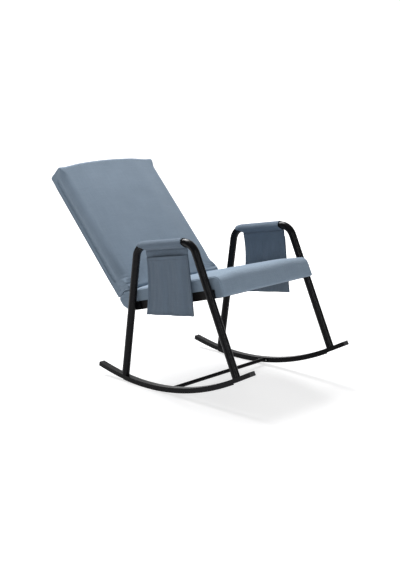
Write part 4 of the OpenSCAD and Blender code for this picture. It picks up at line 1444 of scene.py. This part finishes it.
# %% [markdown]
# A seam line is measured first and then cut into whole stitches, so that none is left half at the
# end. Each copy has its own mesh, turned to the direction of the line at its place. All copies of
# one arm are joined to a single piece, which is lighter to handle than hundreds.

# %% A row of stitches
def stitch_row(line):
    line = np.array(line)
    run = distances(line)
    count = round(run[-1] / STITCH_STEP)
    row = []
    for k in range(count):
        ends = [(k + share) / count * run[-1] for share in (0.4, 0.6)]
        a, b = (Vector([np.interp(at, run, line[:, axis]) for axis in range(3)]) for at in ends)
        mesh = stitch.data.copy()
        mesh.transform(Matrix.Translation((a + b) / 2) @ (b - a).to_track_quat("Z", "Y").to_matrix().to_4x4())
        copy = bpy.data.objects.new("stitch", mesh)
        scene.collection.objects.link(copy)
        row.append(copy)
    return row


def join(name, parts):
    bpy.ops.object.select_all(action="DESELECT")
    for part in parts:
        part.select_set(True)
    bpy.context.view_layer.objects.active = parts[0]
    bpy.ops.object.join()
    parts[0].name = name
    return parts[0]

# %% [markdown]
# A pocket is stitched along its mouth's hem, along its foot and down both sides. The arm cloth has
# a seam just under the tube, seen on both faces, and a row round each end of the sleeve. All these
# lines follow the cloth by the same shares and folds that made it, so a stitch never floats or
# sinks.

# %% Lines of the seams
SHARES = np.linspace(0, 1, 40)
ACROSS = 0.02 + 0.96 * SHARES
STITCH_IN = 7 * MM
MOUTH_STITCH = 12 * MM
UNDER_ARM = 5 * MM
SLEEVE_STITCH = 5 * MM


def pocket_seams(seed, left):
    rows = [[(u, MOUTH_SHARE + MOUTH_STITCH / PANEL_DROP) for u in ACROSS]]
    rows.append([(u, 1 - STITCH_IN / PANEL_DROP) for u in ACROSS])
    for u in (STITCH_IN / PANEL_W, 1 - STITCH_IN / PANEL_W):
        rows.append([(u, MOUTH_SHARE + (0.99 - MOUTH_SHARE) * share) for share in SHARES])
    lines = []
    for row in rows:
        outs = [pocket_out(u, v, seed) + hem_lift(u, v) + 1.25 * MM for u, v in row]
        lines.append([in_chair(hang(u, v), out, left) for (u, v), out in zip(row, outs)])
    return lines


def under_arm_seams(seed, left):
    v = UNDER_ARM / PANEL_DROP
    lines = []
    for sign in (-1, 1):
        line = []
        for u in ACROSS:
            out = sign * (1.3 * MM + gather(u, v, seed + sign)) + fold(u, v) + wrinkle(u, v, seed)
            line.append(in_chair(hang(u, v), out, left))
        lines.append(line)
    return lines


def sleeve_end_seams(left):
    radius = SLEEVE_R + 1.0 * MM
    turns = np.radians(np.linspace(-140, 140, 40))
    lines = []
    for c in (SLEEVE_STITCH - SLEEVE_WRAP, ARM_RUN - SLEEVE_STITCH):
        at, up = arm_point(c)
        lines.append([in_chair(at + radius * math.cos(a) * up, radius * math.sin(a), left) for a in turns])
    return lines

# %% [markdown]
# Now every line is sewn. The thread is a shade darker than the cloth, and the pattern stitch is
# thrown away at the end.

# %% Sew the arm cloths and pockets
for side_name, left, seed in ARM_SIDES:
    stitches = []
    for line in pocket_seams(seed, left) + under_arm_seams(seed, left) + sleeve_end_seams(left):
        stitches += stitch_row(line)
    print(f"{len(stitches)} stitches on the {side_name}")
    seams = join(f"arm_stitches_{side_name}", stitches)
    settle(seams, smooth_angle=60)
    dress(seams, thread)
bpy.data.objects.remove(stitch)
